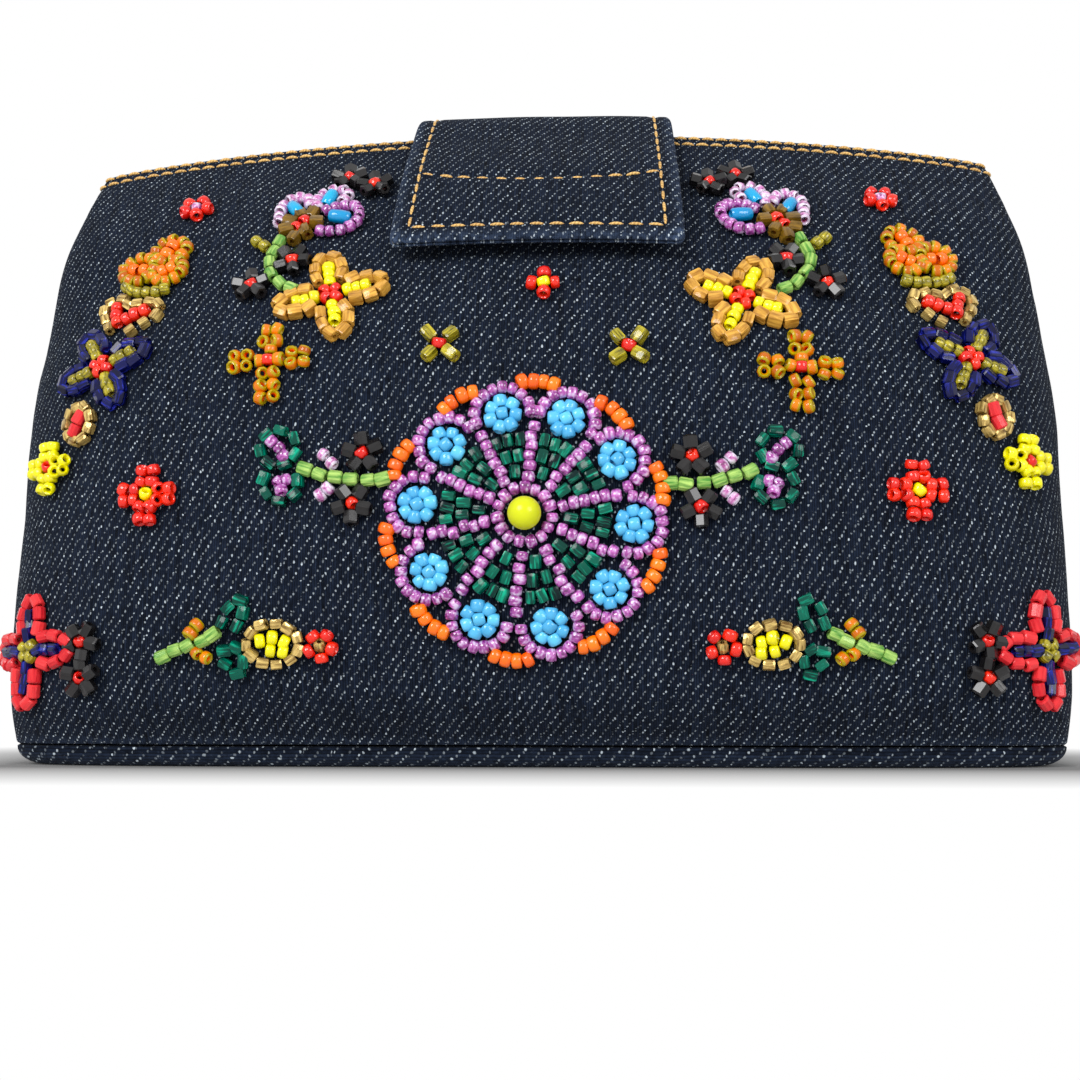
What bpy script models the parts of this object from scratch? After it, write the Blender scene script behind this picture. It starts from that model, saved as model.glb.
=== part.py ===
"""A small stuffed zip pouch of dark denim with a bead-embroidered front.

The pouch stands on its boxed base and faces -Y. The origin is the middle of the base's underside.
"""

import functools
import math

import bmesh
import bpy
import numpy as np
from mathutils import Matrix, Vector

MM = 0.001

# Body of the pouch: full widths and depths of its outer skin at five heights
BASE_SEAM_HEIGHT = 3.0 * MM
BASE_WIDTH = 168.0 * MM
BASE_DEPTH = 42.0 * MM
BASE_SQUARENESS = 5.0
BASE_EDGE_ROUND = 4.0 * MM
HEEL_HEIGHT = 12.0 * MM
HEEL_WIDTH = 170.5 * MM
HEEL_DEPTH = 57.4 * MM
BELLY_HEIGHT = 38.0 * MM
BELLY_WIDTH = 172.0 * MM
BELLY_DEPTH = 68.6 * MM
BELLY_SQUARENESS = 2.8
SHOULDER_HEIGHT = 64.0 * MM
SHOULDER_WIDTH = 171.0 * MM
SHOULDER_DEPTH = 66.6 * MM
ROOF_HEIGHT = 86.0 * MM
ROOF_WIDTH = 167.0 * MM
ROOF_DEPTH = 46.6 * MM
ROOF_SQUARENESS = 3.4
MOUTH_HEIGHT = 108.0 * MM
MOUTH_WIDTH = 154.0 * MM
MOUTH_DEPTH = 11.2 * MM
MOUTH_SQUARENESS = 8.0
MOUTH_LEAN = 11.0 * MM
ARCH_RADIUS = 500.0 * MM

# Cloth
DENIM = 1.2 * MM
LINING = 0.5 * MM
LINING_DROP = 11.0 * MM
LINING_EASE = 1.4 * MM
GAP = 0.3 * MM

# Zip
ZIP_RECESS = 4.0 * MM
TAPE = 0.5 * MM
TAPE_LENGTH = 142.0 * MM
TAPE_SHELF = 5.4 * MM
TAPE_TURN_DROP = 5.7 * MM
TEETH_LENGTH = 120.0 * MM
TEETH_PITCH = 2.4 * MM
TOOTH_WIDTH = 1.2 * MM
TOOTH_HEIGHT = 1.6 * MM
TEETH_PARTING = 1.3 * MM
TOOTH_LENGTH = 1.3 * MM
TEETH_CORD = 0.8 * MM
STOP_LENGTH = 2.4 * MM
STOP_WALL = 0.5 * MM

# Slider and pull
SLIDER_LENGTH = 10.0 * MM
SLIDER_WIDTH = 7.6 * MM
SLIDER_PLATE = 0.9 * MM
SLIDER_WEDGE = 0.7 * MM
SLIDER_WEDGE_LENGTH = 3.4 * MM
SLIDER_FLANGE = 0.6 * MM
BAIL_LENGTH = 5.4 * MM
BAIL_WIDTH = 1.2 * MM
BAIL_BAR = 0.8 * MM
PULL_LENGTH = 16.0 * MM
PULL_WIDTH = 5.0 * MM
PULL_THICKNESS = 0.9 * MM
PULL_EYE_WIDTH = 2.2 * MM
PULL_EYE_LENGTH = 3.3 * MM

# Closing tab with its magnetic snap
TAB_TOP_WIDTH = 43.5 * MM
TAB_END_WIDTH = 46.5 * MM
TAB_SHIFT = 1.1 * MM
TAB_OUTER = 1.0 * MM
TAB_BACKING = 0.8 * MM
TAB_END_HEIGHT = 79.5 * MM
TAB_BACK_HEIGHT = 84.0 * MM
TAB_RISE = 2.7 * MM
SNAP_HEIGHT = 91.0 * MM
SNAP_DIAMETER = 12.0 * MM
SNAP_BOSS = 6.0 * MM
SNAP_SOCKET = 1.4 * MM
SNAP_STUD = 0.6 * MM
SNAP_BOSS_LENGTH = 0.8 * MM

# Beadwork: a round flower of ten petals, and smaller motifs mirrored on both sides of it
MANDALA_UP = 37.4 * MM
MANDALA_SAG = 0.8 * MM
CENTRE_BEAD = 5.0 * MM
BEAD_HOLE = 1.0 * MM
BEAD = 1.9 * MM
TUBE = 1.5 * MM
WELL_FLOOR = 0.5 * MM
PETALS = 10
PETAL_ORBIT = 16.1 * MM
PETAL_RADIUS = 5.0 * MM
FLOWER_RADIUS = 2.8 * MM
ARC_ORBIT = 21.2 * MM
ARC_BEND = 6.3 * MM
STAR_ACROSS = 32.1 * MM
STAR_UP = 74.5 * MM
STAR_REACH = 8.6 * MM
CROSS_ACROSS = 40.6 * MM
CROSS_UP = 61.6 * MM
CROSS_REACH = 6.6 * MM
SMALL_ACROSS = 14.4 * MM
SMALL_UP = 64.3 * MM
SMALL_REACH = 3.4 * MM
RED_ACROSS = 2.1 * MM
RED_UP = 76.0 * MM
RED_REACH = 2.8 * MM
SIDE_FLOWER_ACROSS = 58.9 * MM
SIDE_FLOWER_UP = 41.5 * MM
SIDE_FLOWER_REACH = 5.0 * MM
SPRIG_LENGTH = 18.0 * MM
SPRIG_UP = 43.0 * MM
LOWER_SPRIG_ACROSS = 26.6 * MM
LOWER_SPRIG_UP = 18.0 * MM
LOWER_SPRIG_LENGTH = 28.0 * MM
TOP_SPRAY_ACROSS = 28.0 * MM
TOP_SPRAY_UP = 104.0 * MM
TOP_SPRAY_LENGTH = 26.0 * MM
GARLAND_ACROSS = 57.0 * MM
GARLAND_UP = 94.0 * MM
GARLAND_LENGTH = 44.0 * MM

# Fineness of the meshes
PANEL_COLUMNS = 22
PANEL_ROWS = 12
LINING_COLUMNS = 16
LINING_ROWS = 7
TAB_COLUMNS = 6
TAB_ROWS = 16
TAPE_COLUMNS = 14
PETAL_STEPS = 4
ARC_STATIONS = 3
SPRIG_STATIONS = 12
GARLAND_STATIONS = 16
SECTION_SAMPLES = 90

DENIM_BLUE = (0.018, 0.022, 0.036)
LINING_DARK = (0.030, 0.028, 0.030)
BRASS = (0.56, 0.38, 0.14)
STEEL = (0.55, 0.55, 0.56)
TAPE_NAVY = (0.012, 0.014, 0.024)
BEAD_LIME = (0.62, 0.66, 0.02)
BEAD_LILAC = (0.45, 0.17, 0.46)
BEAD_SKY = (0.13, 0.49, 0.77)
BEAD_ORANGE = (0.98, 0.18, 0.005)
BEAD_GOLD = (0.58, 0.30, 0.07)
BEAD_RED = (0.80, 0.03, 0.015)
BEAD_AMBER = (0.42, 0.24, 0.02)
BEAD_OLIVE = (0.25, 0.21, 0.02)
BEAD_GREEN = (0.20, 0.45, 0.06)
BEAD_NAVY = (0.02, 0.02, 0.20)

LINING_TOP = MOUTH_HEIGHT - LINING_DROP
TAPE_LEG_TOP = MOUTH_HEIGHT - TAPE_TURN_DROP
TEETH_REACH = TEETH_PARTING / 2 + TOOTH_LENGTH + TEETH_CORD
TAPE_INNER_EDGE = TEETH_REACH + GAP
TAPE_LEG_BOTTOM = LINING_TOP + 2 * GAP
STOP_FACE = TEETH_LENGTH / 2 + TEETH_PITCH
SLIDER_REST = STOP_FACE - SLIDER_LENGTH / 2 - GAP

STATIONS = {
    "height": (BASE_SEAM_HEIGHT, HEEL_HEIGHT, BELLY_HEIGHT, SHOULDER_HEIGHT, ROOF_HEIGHT, MOUTH_HEIGHT),
    "width": (BASE_WIDTH, HEEL_WIDTH, BELLY_WIDTH, SHOULDER_WIDTH, ROOF_WIDTH, MOUTH_WIDTH),
    "depth": (BASE_DEPTH, HEEL_DEPTH, BELLY_DEPTH, SHOULDER_DEPTH, ROOF_DEPTH, MOUTH_DEPTH),
    "squareness": (
        BASE_SQUARENESS,
        (BASE_SQUARENESS + BELLY_SQUARENESS) / 2,
        BELLY_SQUARENESS,
        BELLY_SQUARENESS,
        ROOF_SQUARENESS,
        MOUTH_SQUARENESS,
    ),
}


def clear_scene():
    for obj in list(bpy.data.objects):
        bpy.data.objects.remove(obj)


def new_collection(name):
    collection = bpy.data.collections.new(name)
    bpy.context.scene.collection.children.link(collection)
    return collection


def material(name, colour, roughness, metallic=0.0):
    made = bpy.data.materials.new(name)
    made.use_nodes = True
    shader = made.node_tree.nodes["Principled BSDF"]
    shader.inputs["Base Color"].default_value = (*colour, 1.0)
    shader.inputs["Roughness"].default_value = roughness
    shader.inputs["Metallic"].default_value = metallic
    return made


def add_object(name, mesh_or_curve, finish, collection):
    obj = bpy.data.objects.new(name, mesh_or_curve)
    obj.data.materials.append(finish)
    collection.objects.link(obj)
    return obj


def object_from_bmesh(name, shape, finish, collection, sharp_angle=40.0):
    mesh = bpy.data.meshes.new(name)
    shape.to_mesh(mesh)
    shape.free()
    mesh.shade_smooth()
    mesh.set_sharp_from_angle(angle=math.radians(sharp_angle))
    return add_object(name, mesh, finish, collection)


def add_solidify(obj, thickness, side):
    """Gives an open cloth surface its thickness, inwards for side -1 and outwards for side 1."""
    modifier = obj.modifiers.new("thickness", "SOLIDIFY")
    modifier.thickness = thickness
    modifier.offset = side
    modifier.use_even_offset = True
    modifier.use_quality_normals = True


def add_boolean(obj, cutter, operation):
    modifier = obj.modifiers.new(operation.lower(), "BOOLEAN")
    modifier.object = cutter
    modifier.operation = operation
    cutter.hide_render = True
    cutter.display_type = "WIRE"


# Shape of the pouch


def at_height(kind, height):
    """A smooth curve through the stations' values, read at one height."""
    heights = STATIONS["height"]
    values = STATIONS[kind]
    last = len(heights) - 2
    i = min(max(sum(height >= h for h in heights) - 1, 0), last)

    def slope(k):
        low, high = max(k - 1, 0), min(k + 1, last + 1)
        return (values[high] - values[low]) / (heights[high] - heights[low])

    span = heights[i + 1] - heights[i]
    t = (height - heights[i]) / span
    return (
        (2 * t**3 - 3 * t**2 + 1) * values[i]
        + (t**3 - 2 * t**2 + t) * span * slope(i)
        + (3 * t**2 - 2 * t**3) * values[i + 1]
        + (t**3 - t**2) * span * slope(i + 1)
    )


def centre_at(height):
    """The middle plane leans back a little towards the mouth."""
    return MOUTH_LEAN * (height - BASE_SEAM_HEIGHT) / (MOUTH_HEIGHT - BASE_SEAM_HEIGHT)


def arch_drop(x):
    """How much lower the mouth's edge lies at x than in the middle."""
    return ARCH_RADIUS - math.sqrt(ARCH_RADIUS**2 - x**2)


def arch_share(height):
    """The arch belongs to the mouth and fades out below the shoulder."""
    t = min(max((height - BELLY_HEIGHT) / (ROOF_HEIGHT - BELLY_HEIGHT), 0.0), 1.0)
    return t * t * (3 - 2 * t)


@functools.lru_cache(maxsize=4096)
def half_section(height):
    """Points from the middle of the front to the side seam, and the length along them."""
    reach = np.sin(np.linspace(0, math.pi / 2, SECTION_SAMPLES))
    power = at_height("squareness", height)
    x = at_height("width", height) / 2 * reach
    y = at_height("depth", height) / 2 * (1 - reach**power) ** (1 / power)
    along = np.concatenate([[0], np.cumsum(np.hypot(np.diff(x), np.diff(y)))])
    return x, y, along


def skin_point(height, across, side):
    """A point on the outer skin: across is the distance from the middle line along the cloth.

    side is -1 on the front and 1 on the back.
    """
    xs, ys, along = half_section(height)
    x = math.copysign(float(np.interp(abs(across), along, xs)), across)
    y = float(np.interp(abs(across), along, ys))
    return Vector((x, centre_at(height) + side * y, height - arch_drop(x) * arch_share(height)))


def skin_normal(height, across, side):
    """The outward direction of the skin at that point."""
    step = 0.4 * MM
    low = min(height, MOUTH_HEIGHT - step)
    girth = half_section(low)[2][-1]
    left = min(max(across, -girth + step), girth - step)
    up = skin_point(low + step, left, side) - skin_point(max(low - step, BASE_SEAM_HEIGHT), left, side)
    over = skin_point(low, left + step, side) - skin_point(low, left - step, side)
    normal = over.cross(up).normalized()
    return normal if side < 0 else -normal


def off_skin(height, across, side, distance):
    return skin_point(height, across, side) + distance * skin_normal(height, across, side)


def spaced(low, high, count):
    return [low + (high - low) * i / (count - 1) for i in range(count)]


def grid_surface(columns, rows, place):
    """A grid whose point at (column, row) is moved to place(column, row)."""
    shape = bmesh.new()
    bmesh.ops.create_grid(shape, x_segments=columns, y_segments=rows, size=1)
    for vert in shape.verts:
        column = round((vert.co.x + 1) / 2 * columns)
        row = round((vert.co.y + 1) / 2 * rows)
        vert.co = place(column, row)
    return shape


def panel_surface(side):
    """The front or back skin, from the base seam to the mouth and from side seam to side seam."""
    heights = spaced(BASE_SEAM_HEIGHT + GAP, MOUTH_HEIGHT, PANEL_ROWS + 1)

    def place(column, row):
        reach = half_section(heights[row])[2][-1] - GAP / 2
        across = math.sin(math.pi / 2 * (2 * column / PANEL_COLUMNS - 1) * 0.86)
        across *= reach / math.sin(math.pi / 2 * 0.86)
        return skin_point(heights[row], across, side)

    shape = grid_surface(PANEL_COLUMNS, PANEL_ROWS, place)
    if side > 0:
        bmesh.ops.reverse_faces(shape, faces=shape.faces)
    return shape


def make_panels(finish, collection):
    for name, side in (("front_panel", -1), ("back_panel", 1)):
        panel = object_from_bmesh(name, panel_surface(side), finish, collection)
        add_solidify(panel, DENIM, -1)


def make_base_panel(finish, collection):
    """The boxed base, a crosswise strip whose edge turns up to the seam."""
    rows = 4
    count = 2 * PANEL_COLUMNS

    def place(column, row):
        turn = math.pi / 2 * (1 - row / rows)
        side = -1 if column < PANEL_COLUMNS or column == count else 1
        reach = half_section(BASE_SEAM_HEIGHT)[2][-1]
        share = (column % PANEL_COLUMNS) / PANEL_COLUMNS
        across = side * -reach * (1 - 2 * share)
        point = skin_point(BASE_SEAM_HEIGHT, across, side)
        inset = BASE_EDGE_ROUND * (1 - math.cos(turn))
        scale_x = 1 - 2 * inset / BASE_WIDTH
        scale_y = 1 - 2 * inset / BASE_DEPTH
        return Vector((point.x * scale_x, point.y * scale_y, BASE_SEAM_HEIGHT * (1 - math.sin(turn))))

    shape = grid_surface(count, rows, place)
    bmesh.ops.remove_doubles(shape, verts=shape.verts, dist=GAP / 10)
    underside = [e for e in shape.edges if e.is_boundary and e.verts[0].co.z < BASE_SEAM_HEIGHT / 2]
    bmesh.ops.edgeloop_fill(shape, edges=underside)
    bmesh.ops.recalc_face_normals(shape, faces=shape.faces)
    lowest = min(shape.faces, key=lambda face: face.calc_center_median().z)
    if lowest.normal.z > 0:
        bmesh.ops.reverse_faces(shape, faces=shape.faces)
    panel = object_from_bmesh("base_panel", shape, finish, collection)
    add_solidify(panel, DENIM, -1)


def make_lining(finish, collection):
    """The inner bag, one open sack between the base and the zip tapes."""
    depth = DENIM + LINING_EASE
    floor = DENIM + GAP
    heights = spaced(BASE_SEAM_HEIGHT + floor, LINING_TOP, LINING_ROWS + 1)
    count = 2 * LINING_COLUMNS

    def place(column, row):
        side = -1 if column < LINING_COLUMNS or column == count else 1
        reach = half_section(heights[row])[2][-1]
        across = side * -reach * (1 - 2 * (column % LINING_COLUMNS) / LINING_COLUMNS)
        normal = skin_normal(heights[row], across, side)
        if abs(abs(across) - reach) < GAP:
            normal = Vector((math.copysign(1, across), 0, 0))
        return skin_point(heights[row], across, side) - depth * normal

    shape = grid_surface(count, LINING_ROWS, place)
    bmesh.ops.remove_doubles(shape, verts=shape.verts, dist=GAP / 10)
    rim = [e for e in shape.edges if e.is_boundary and e.verts[0].co.z < HEEL_HEIGHT]
    bmesh.ops.edgeloop_fill(shape, edges=rim)
    bmesh.ops.recalc_face_normals(shape, faces=shape.faces)
    lowest = min(shape.faces, key=lambda face: face.calc_center_median().z)
    if lowest.normal.z > 0:
        bmesh.ops.reverse_faces(shape, faces=shape.faces)
    lining = object_from_bmesh("lining", shape, finish, collection)
    add_solidify(lining, LINING, -1)


# Zip


def zip_point(x, across, up):
    """A place on the zip: x along it, across from its middle line, up from the tape's mid-plane."""
    radius = ARCH_RADIUS - ZIP_RECESS + up
    turn = x / (ARCH_RADIUS - ZIP_RECESS)
    centre = MOUTH_HEIGHT - ARCH_RADIUS
    return Vector((radius * math.sin(turn), MOUTH_LEAN + across, centre + radius * math.cos(turn)))


def wall_inside(height, x, distance):
    """How far from the middle plane a sheet lies that is distance inside the skin."""
    step = 0.5 * MM
    slope = (at_height("depth", height - step) - at_height("depth", height)) / 2 / step
    power = at_height("squareness", height)
    reach = min((abs(x) + distance) / (at_height("width", height) / 2), 0.999)
    half = at_height("depth", height) / 2 * (1 - reach**power) ** (1 / power)
    return half - distance * math.hypot(1, slope)


def make_tape(name, side, finish, collection):
    """One tape: a shelf beside the teeth, and a leg sewn down inside the denim to the lining's edge."""
    inset = DENIM + GAP + TAPE / 2
    legs = spaced(TAPE_LEG_TOP, TAPE_LEG_BOTTOM, 3)

    def place(column, row):
        x = TAPE_LENGTH * (column / TAPE_COLUMNS - 0.5)
        if row == 0:
            return zip_point(x, side * TAPE_INNER_EDGE, 0)
        if row == 1:
            return zip_point(x, side * TAPE_SHELF, 0)
        height = legs[row - 2]
        centre = centre_at(height)
        return Vector((x, centre + side * wall_inside(height, x, inset), height - arch_drop(x)))

    shape = grid_surface(TAPE_COLUMNS, 1 + len(legs), place)
    if side > 0:
        bmesh.ops.reverse_faces(shape, faces=shape.faces)
    tape = object_from_bmesh(name, shape, finish, collection)
    add_solidify(tape, TAPE, 0)


def make_teeth(name, side, finish, collection):
    """One row of teeth on its cord, set half a pitch off the other row."""
    count = round(TEETH_LENGTH / TEETH_PITCH)
    shift = 0 if side < 0 else TEETH_PITCH / 2
    tooth_out = TEETH_PARTING / 2
    cord_in = tooth_out + TOOTH_LENGTH
    cord_out = cord_in + TEETH_CORD
    low = -count * TEETH_PITCH / 2 + shift
    shape = bmesh.new()
    bmesh.ops.create_grid(shape, x_segments=2 * count, y_segments=1, size=1)
    for vert in shape.verts:
        column = round((vert.co.x + 1) * count)
        x = low + (column // 2) * TEETH_PITCH + (TOOTH_WIDTH if column % 2 else 0)
        across = cord_in if vert.co.y < 0 else cord_out
        vert.co = Vector((x, across, 0))
    roots = []
    for edge in shape.edges:
        a, b = (vert.co for vert in edge.verts)
        narrow = abs(abs(a.x - b.x) - TOOTH_WIDTH) < GAP / 10
        if narrow and max(a.y, b.y) < cord_in + GAP / 10:
            roots.append(edge)
    made = bmesh.ops.extrude_edge_only(shape, edges=roots)["geom"]
    for vert in (item for item in made if isinstance(item, bmesh.types.BMVert)):
        vert.co.y = tooth_out
    for vert in shape.verts:
        vert.co = zip_point(vert.co.x, side * vert.co.y, 0)
    bmesh.ops.recalc_face_normals(shape, faces=shape.faces)
    row = object_from_bmesh(name, shape, finish, collection)
    add_solidify(row, TOOTH_HEIGHT, 0)


def box_on_zip(shape, x, across, up, size):
    """A block on the zip, turned to lie along its arc."""
    turn = x / (ARCH_RADIUS - ZIP_RECESS)
    place = Matrix.Translation(zip_point(x, across, up)) @ Matrix.Rotation(turn, 4, "Y")
    bmesh.ops.create_cube(shape, size=1, matrix=place @ Matrix.Diagonal((*size, 1)))


def make_stops(finish, collection):
    """Two stops above the last teeth at the closed end, and one across both rows at the other."""
    end = STOP_FACE + STOP_LENGTH / 2
    height = TOOTH_HEIGHT + 2 * STOP_WALL
    inner = TEETH_PARTING / 2
    width = TEETH_REACH - inner
    for name, side in (("zip_top_stop_front", -1), ("zip_top_stop_back", 1)):
        shape = bmesh.new()
        across = side * (inner + width / 2)
        box_on_zip(shape, end, across, 0, (STOP_LENGTH, width, height))
        stop = object_from_bmesh(name, shape, finish, collection)
        add_bevel(stop, GAP / 2)
    shape = bmesh.new()
    width = 2 * TEETH_REACH
    box_on_zip(shape, -end, 0, 0, (STOP_LENGTH, width, height))
    stop = object_from_bmesh("zip_bottom_stop", shape, finish, collection)
    add_bevel(stop, GAP / 2)


def add_bevel(obj, width, segments=1):
    modifier = obj.modifiers.new("edges", "BEVEL")
    modifier.width = width
    modifier.segments = segments
    modifier.limit_method = "ANGLE"


def joined(shape_objects, name, finish, collection, helpers):
    """Several overlapping blocks made one body."""
    first = shape_objects[0]
    for other in shape_objects[1:]:
        helpers.objects.link(other)
        collection.objects.unlink(other)
        add_boolean(first, other, "UNION")
    first.name = name
    first.data.name = name
    return first


def block(name, x, across, up, size, finish, collection, bevel=0.0):
    shape = bmesh.new()
    box_on_zip(shape, x, across, up, size)
    made = object_from_bmesh(name, shape, finish, collection)
    if bevel:
        add_bevel(made, bevel)
    return made


def make_slider(finish, collection, helpers):
    """Two plates joined by a wedge, with flanges round the teeth and a bail on top."""
    x = SLIDER_REST
    channel = TOOTH_HEIGHT / 2 + GAP
    plate_up = channel + SLIDER_PLATE / 2
    plate = (SLIDER_LENGTH, SLIDER_WIDTH, SLIDER_PLATE)
    top = block("zip_slider", x, 0, plate_up, plate, finish, collection, 2 * GAP)
    parts = [top, block("slider_lower_plate", x, 0, -plate_up, plate, finish, collection, 2 * GAP)]
    wedge_x = x + SLIDER_LENGTH / 2 - SLIDER_WEDGE_LENGTH / 2 - GAP
    wedge = (SLIDER_WEDGE_LENGTH, SLIDER_WEDGE, 2 * channel + SLIDER_PLATE)
    parts.append(block("slider_wedge", wedge_x, 0, 0, wedge, finish, collection))
    tape_clear = TAPE / 2 + GAP
    flange_height = channel - tape_clear + GAP
    for side in (-1, 1):
        for level in (-1, 1):
            across = side * (SLIDER_WIDTH / 2 - SLIDER_FLANGE / 2)
            up = level * (tape_clear + flange_height / 2)
            size = (SLIDER_LENGTH - 6 * GAP, SLIDER_FLANGE, flange_height)
            parts.append(block(f"slider_flange_{side}_{level}", x, across, up, size, finish, collection))
    foot_top = pivot_up() + PULL_THICKNESS / 2 + GAP + BAIL_BAR
    foot_bottom = channel + SLIDER_PLATE / 2
    for side in (-1, 1):
        foot_x = x + side * (BAIL_LENGTH - BAIL_BAR) / 2
        size = (BAIL_BAR, BAIL_WIDTH, foot_top - foot_bottom)
        up = (foot_top + foot_bottom) / 2
        parts.append(block(f"slider_foot_{side}", foot_x, 0, up, size, finish, collection))
    bar = (BAIL_LENGTH, BAIL_WIDTH, BAIL_BAR)
    parts.append(block("slider_bail", x, 0, foot_top - BAIL_BAR / 2, bar, finish, collection))
    return joined(parts, "zip_slider", finish, collection, helpers)


def pivot_up():
    """Height of the pull's pin above the tape's mid-plane."""
    return TOOTH_HEIGHT / 2 + GAP + SLIDER_PLATE + GAP + PULL_THICKNESS / 2


def make_pull(finish, collection, helpers):
    """The pull lies flat over the closed teeth, its eye round the slider's bail."""
    x = SLIDER_REST
    bar_x = x + PULL_THICKNESS / 2
    eye_end = bar_x - PULL_THICKNESS - PULL_EYE_LENGTH
    middle = (bar_x + (x - PULL_LENGTH)) / 2
    length = bar_x - (x - PULL_LENGTH)
    plate = (length, PULL_WIDTH, PULL_THICKNESS)
    turn = x / (ARCH_RADIUS - ZIP_RECESS)
    frame = Matrix.Translation(zip_point(x, 0, pivot_up())) @ Matrix.Rotation(turn, 4, "Y")

    def flat_block(name, at, size, place):
        shape = bmesh.new()
        local = Matrix.Translation((at - x, 0, 0)) @ Matrix.Diagonal((*size, 1))
        bmesh.ops.create_cube(shape, size=1, matrix=local)
        made = object_from_bmesh(name, shape, finish, place)
        made.matrix_world = frame
        return made

    pull = flat_block("zip_pull", middle, plate, collection)
    add_bevel(pull, GAP)
    eye_middle = (bar_x - PULL_THICKNESS + eye_end) / 2
    eye = (PULL_EYE_LENGTH, PULL_EYE_WIDTH, 4 * PULL_THICKNESS)
    add_boolean(pull, flat_block("pull_eye_cutter", eye_middle, eye, helpers), "DIFFERENCE")
    slot_length = PULL_LENGTH / 3
    slot = (slot_length, PULL_EYE_WIDTH, 4 * PULL_THICKNESS)
    slot_x = x - PULL_LENGTH + slot_length / 2 + PULL_EYE_WIDTH / 2
    add_boolean(pull, flat_block("pull_slot_cutter", slot_x, slot, helpers), "DIFFERENCE")
    return pull


# Closing tab


def tab_clearance():
    """The tab's underside stands off the front by the two halves of the snap.

    The front curves away under the flat snap, and the tab still clears the stud's rim.
    """
    middle = skin_point(SNAP_HEIGHT, 0, -1)
    out = skin_normal(SNAP_HEIGHT, 0, -1)
    rims = (skin_point(SNAP_HEIGHT + side * SNAP_DIAMETER / 2, 0, -1) for side in (-1, 1))
    sag = max((middle - rim).dot(out) for rim in rims)
    return SNAP_SOCKET + SNAP_STUD + 2 * GAP + max(GAP, sag + GAP / 4)


def tab_path(raised):
    """Side view of the tab, from its end on the front over the mouth to its seam on the back."""
    front = tab_clearance() + raised
    back = GAP + raised
    points = [off_skin(h, 0, -1, front) for h in spaced(TAB_END_HEIGHT, MOUTH_HEIGHT, 5)]
    points.append(Vector((0, MOUTH_LEAN, MOUTH_HEIGHT + TAB_RISE + raised)))
    points += [off_skin(h, 0, 1, back) for h in spaced(MOUTH_HEIGHT - GAP, TAB_BACK_HEIGHT, 5)]
    return points


def through_points(points, share):
    """A smooth curve through the points, read at a share of its point count."""
    last = len(points) - 2
    i = min(int(share * (last + 1)), last)
    t = share * (last + 1) - i
    before, after = points[max(i - 1, 0)], points[min(i + 2, last + 1)]
    a, b = points[i], points[i + 1]
    return 0.5 * (
        2 * a
        + (b - before) * t
        + (2 * before - 5 * a + 4 * b - after) * t**2
        + (3 * a - before - 3 * b + after) * t**3
    )


def make_tab(name, raised, thickness, trim, finish, collection):
    """One layer of the tab, a strip that widens a little towards its end."""
    path = tab_path(raised)

    def place(column, row):
        share = row / TAB_ROWS
        point = through_points(path, share)
        half = (TAB_TOP_WIDTH + (TAB_END_WIDTH - TAB_TOP_WIDTH) * max(1 - 2 * share, 0)) / 2 - trim
        x = TAB_SHIFT + half * (2 * column / TAB_COLUMNS - 1)
        return Vector((x, point.y, point.z - arch_drop(x)))

    shape = grid_surface(TAB_COLUMNS, TAB_ROWS, place)
    strip = object_from_bmesh(name, shape, finish, collection)
    add_solidify(strip, thickness, 1)


def snap_disc(shape, radius, low, high):
    bmesh.ops.create_cone(
        shape,
        cap_ends=True,
        segments=20,
        radius1=radius,
        radius2=radius,
        depth=high - low,
        matrix=Matrix.Translation((0, 0, (low + high) / 2)),
    )


def make_snap(finish, collection, helpers):
    """The socket sits on the front, and the stud hangs from the tab above it."""
    normal = skin_normal(SNAP_HEIGHT, 0, -1)
    turn = normal.to_track_quat("Z", "X").to_matrix().to_4x4()
    frame = Matrix.Translation(skin_point(SNAP_HEIGHT, 0, -1)) @ turn

    def disc(name, radius, low, high, place):
        shape = bmesh.new()
        snap_disc(shape, radius, low, high)
        made = object_from_bmesh(name, shape, finish, place)
        made.matrix_world = frame
        return made

    socket_top = GAP + SNAP_SOCKET
    socket = disc("snap_socket", SNAP_DIAMETER / 2, GAP, socket_top, collection)
    hole = disc("socket_cutter", SNAP_BOSS / 2 + GAP, socket_top - SNAP_BOSS_LENGTH, 2 * socket_top, helpers)
    add_boolean(socket, hole, "DIFFERENCE")
    stud_low = socket_top + GAP
    stud = disc("snap_stud", SNAP_DIAMETER / 2, stud_low, stud_low + SNAP_STUD, collection)
    boss_low = stud_low - SNAP_BOSS_LENGTH + GAP
    boss = disc("stud_boss", SNAP_BOSS / 2, boss_low, stud_low + SNAP_STUD / 2, helpers)
    add_boolean(stud, boss, "UNION")


# Beadwork


@functools.lru_cache(maxsize=1)
def front_line():
    """Heights up the front's middle line, and how far the line has run at each."""
    heights = spaced(BASE_SEAM_HEIGHT, MOUTH_HEIGHT, SECTION_SAMPLES)
    line = [skin_point(h, 0, -1) for h in heights]
    return np.concatenate([[0], np.cumsum([(b - a).length for a, b in zip(line, line[1:])])]), heights


def height_up_front(up):
    """The height at which the front's middle line has run this far up from the base seam."""
    return float(np.interp(up, *front_line()))


def on_front(across, up, lift):
    """A place on the front, across and up along the cloth and lifted off it."""
    return off_skin(height_up_front(up), across, -1, GAP + lift)


def petal_turn(number):
    """The direction of one petal: the first two stand evenly beside the upright."""
    return math.pi / 2 + (number + 0.5) * 2 * math.pi / PETALS


def wheel_rim(turn):
    """The lobed outline of the round flower, ten overlapping circles round its middle."""
    step = 2 * math.pi / PETALS
    off = (turn - petal_turn(0) + step / 2) % step - step / 2
    aside = PETAL_ORBIT * math.sin(off)
    return PETAL_ORBIT * math.cos(off) + math.sqrt(max(PETAL_RADIUS**2 - aside**2, 0))


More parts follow.
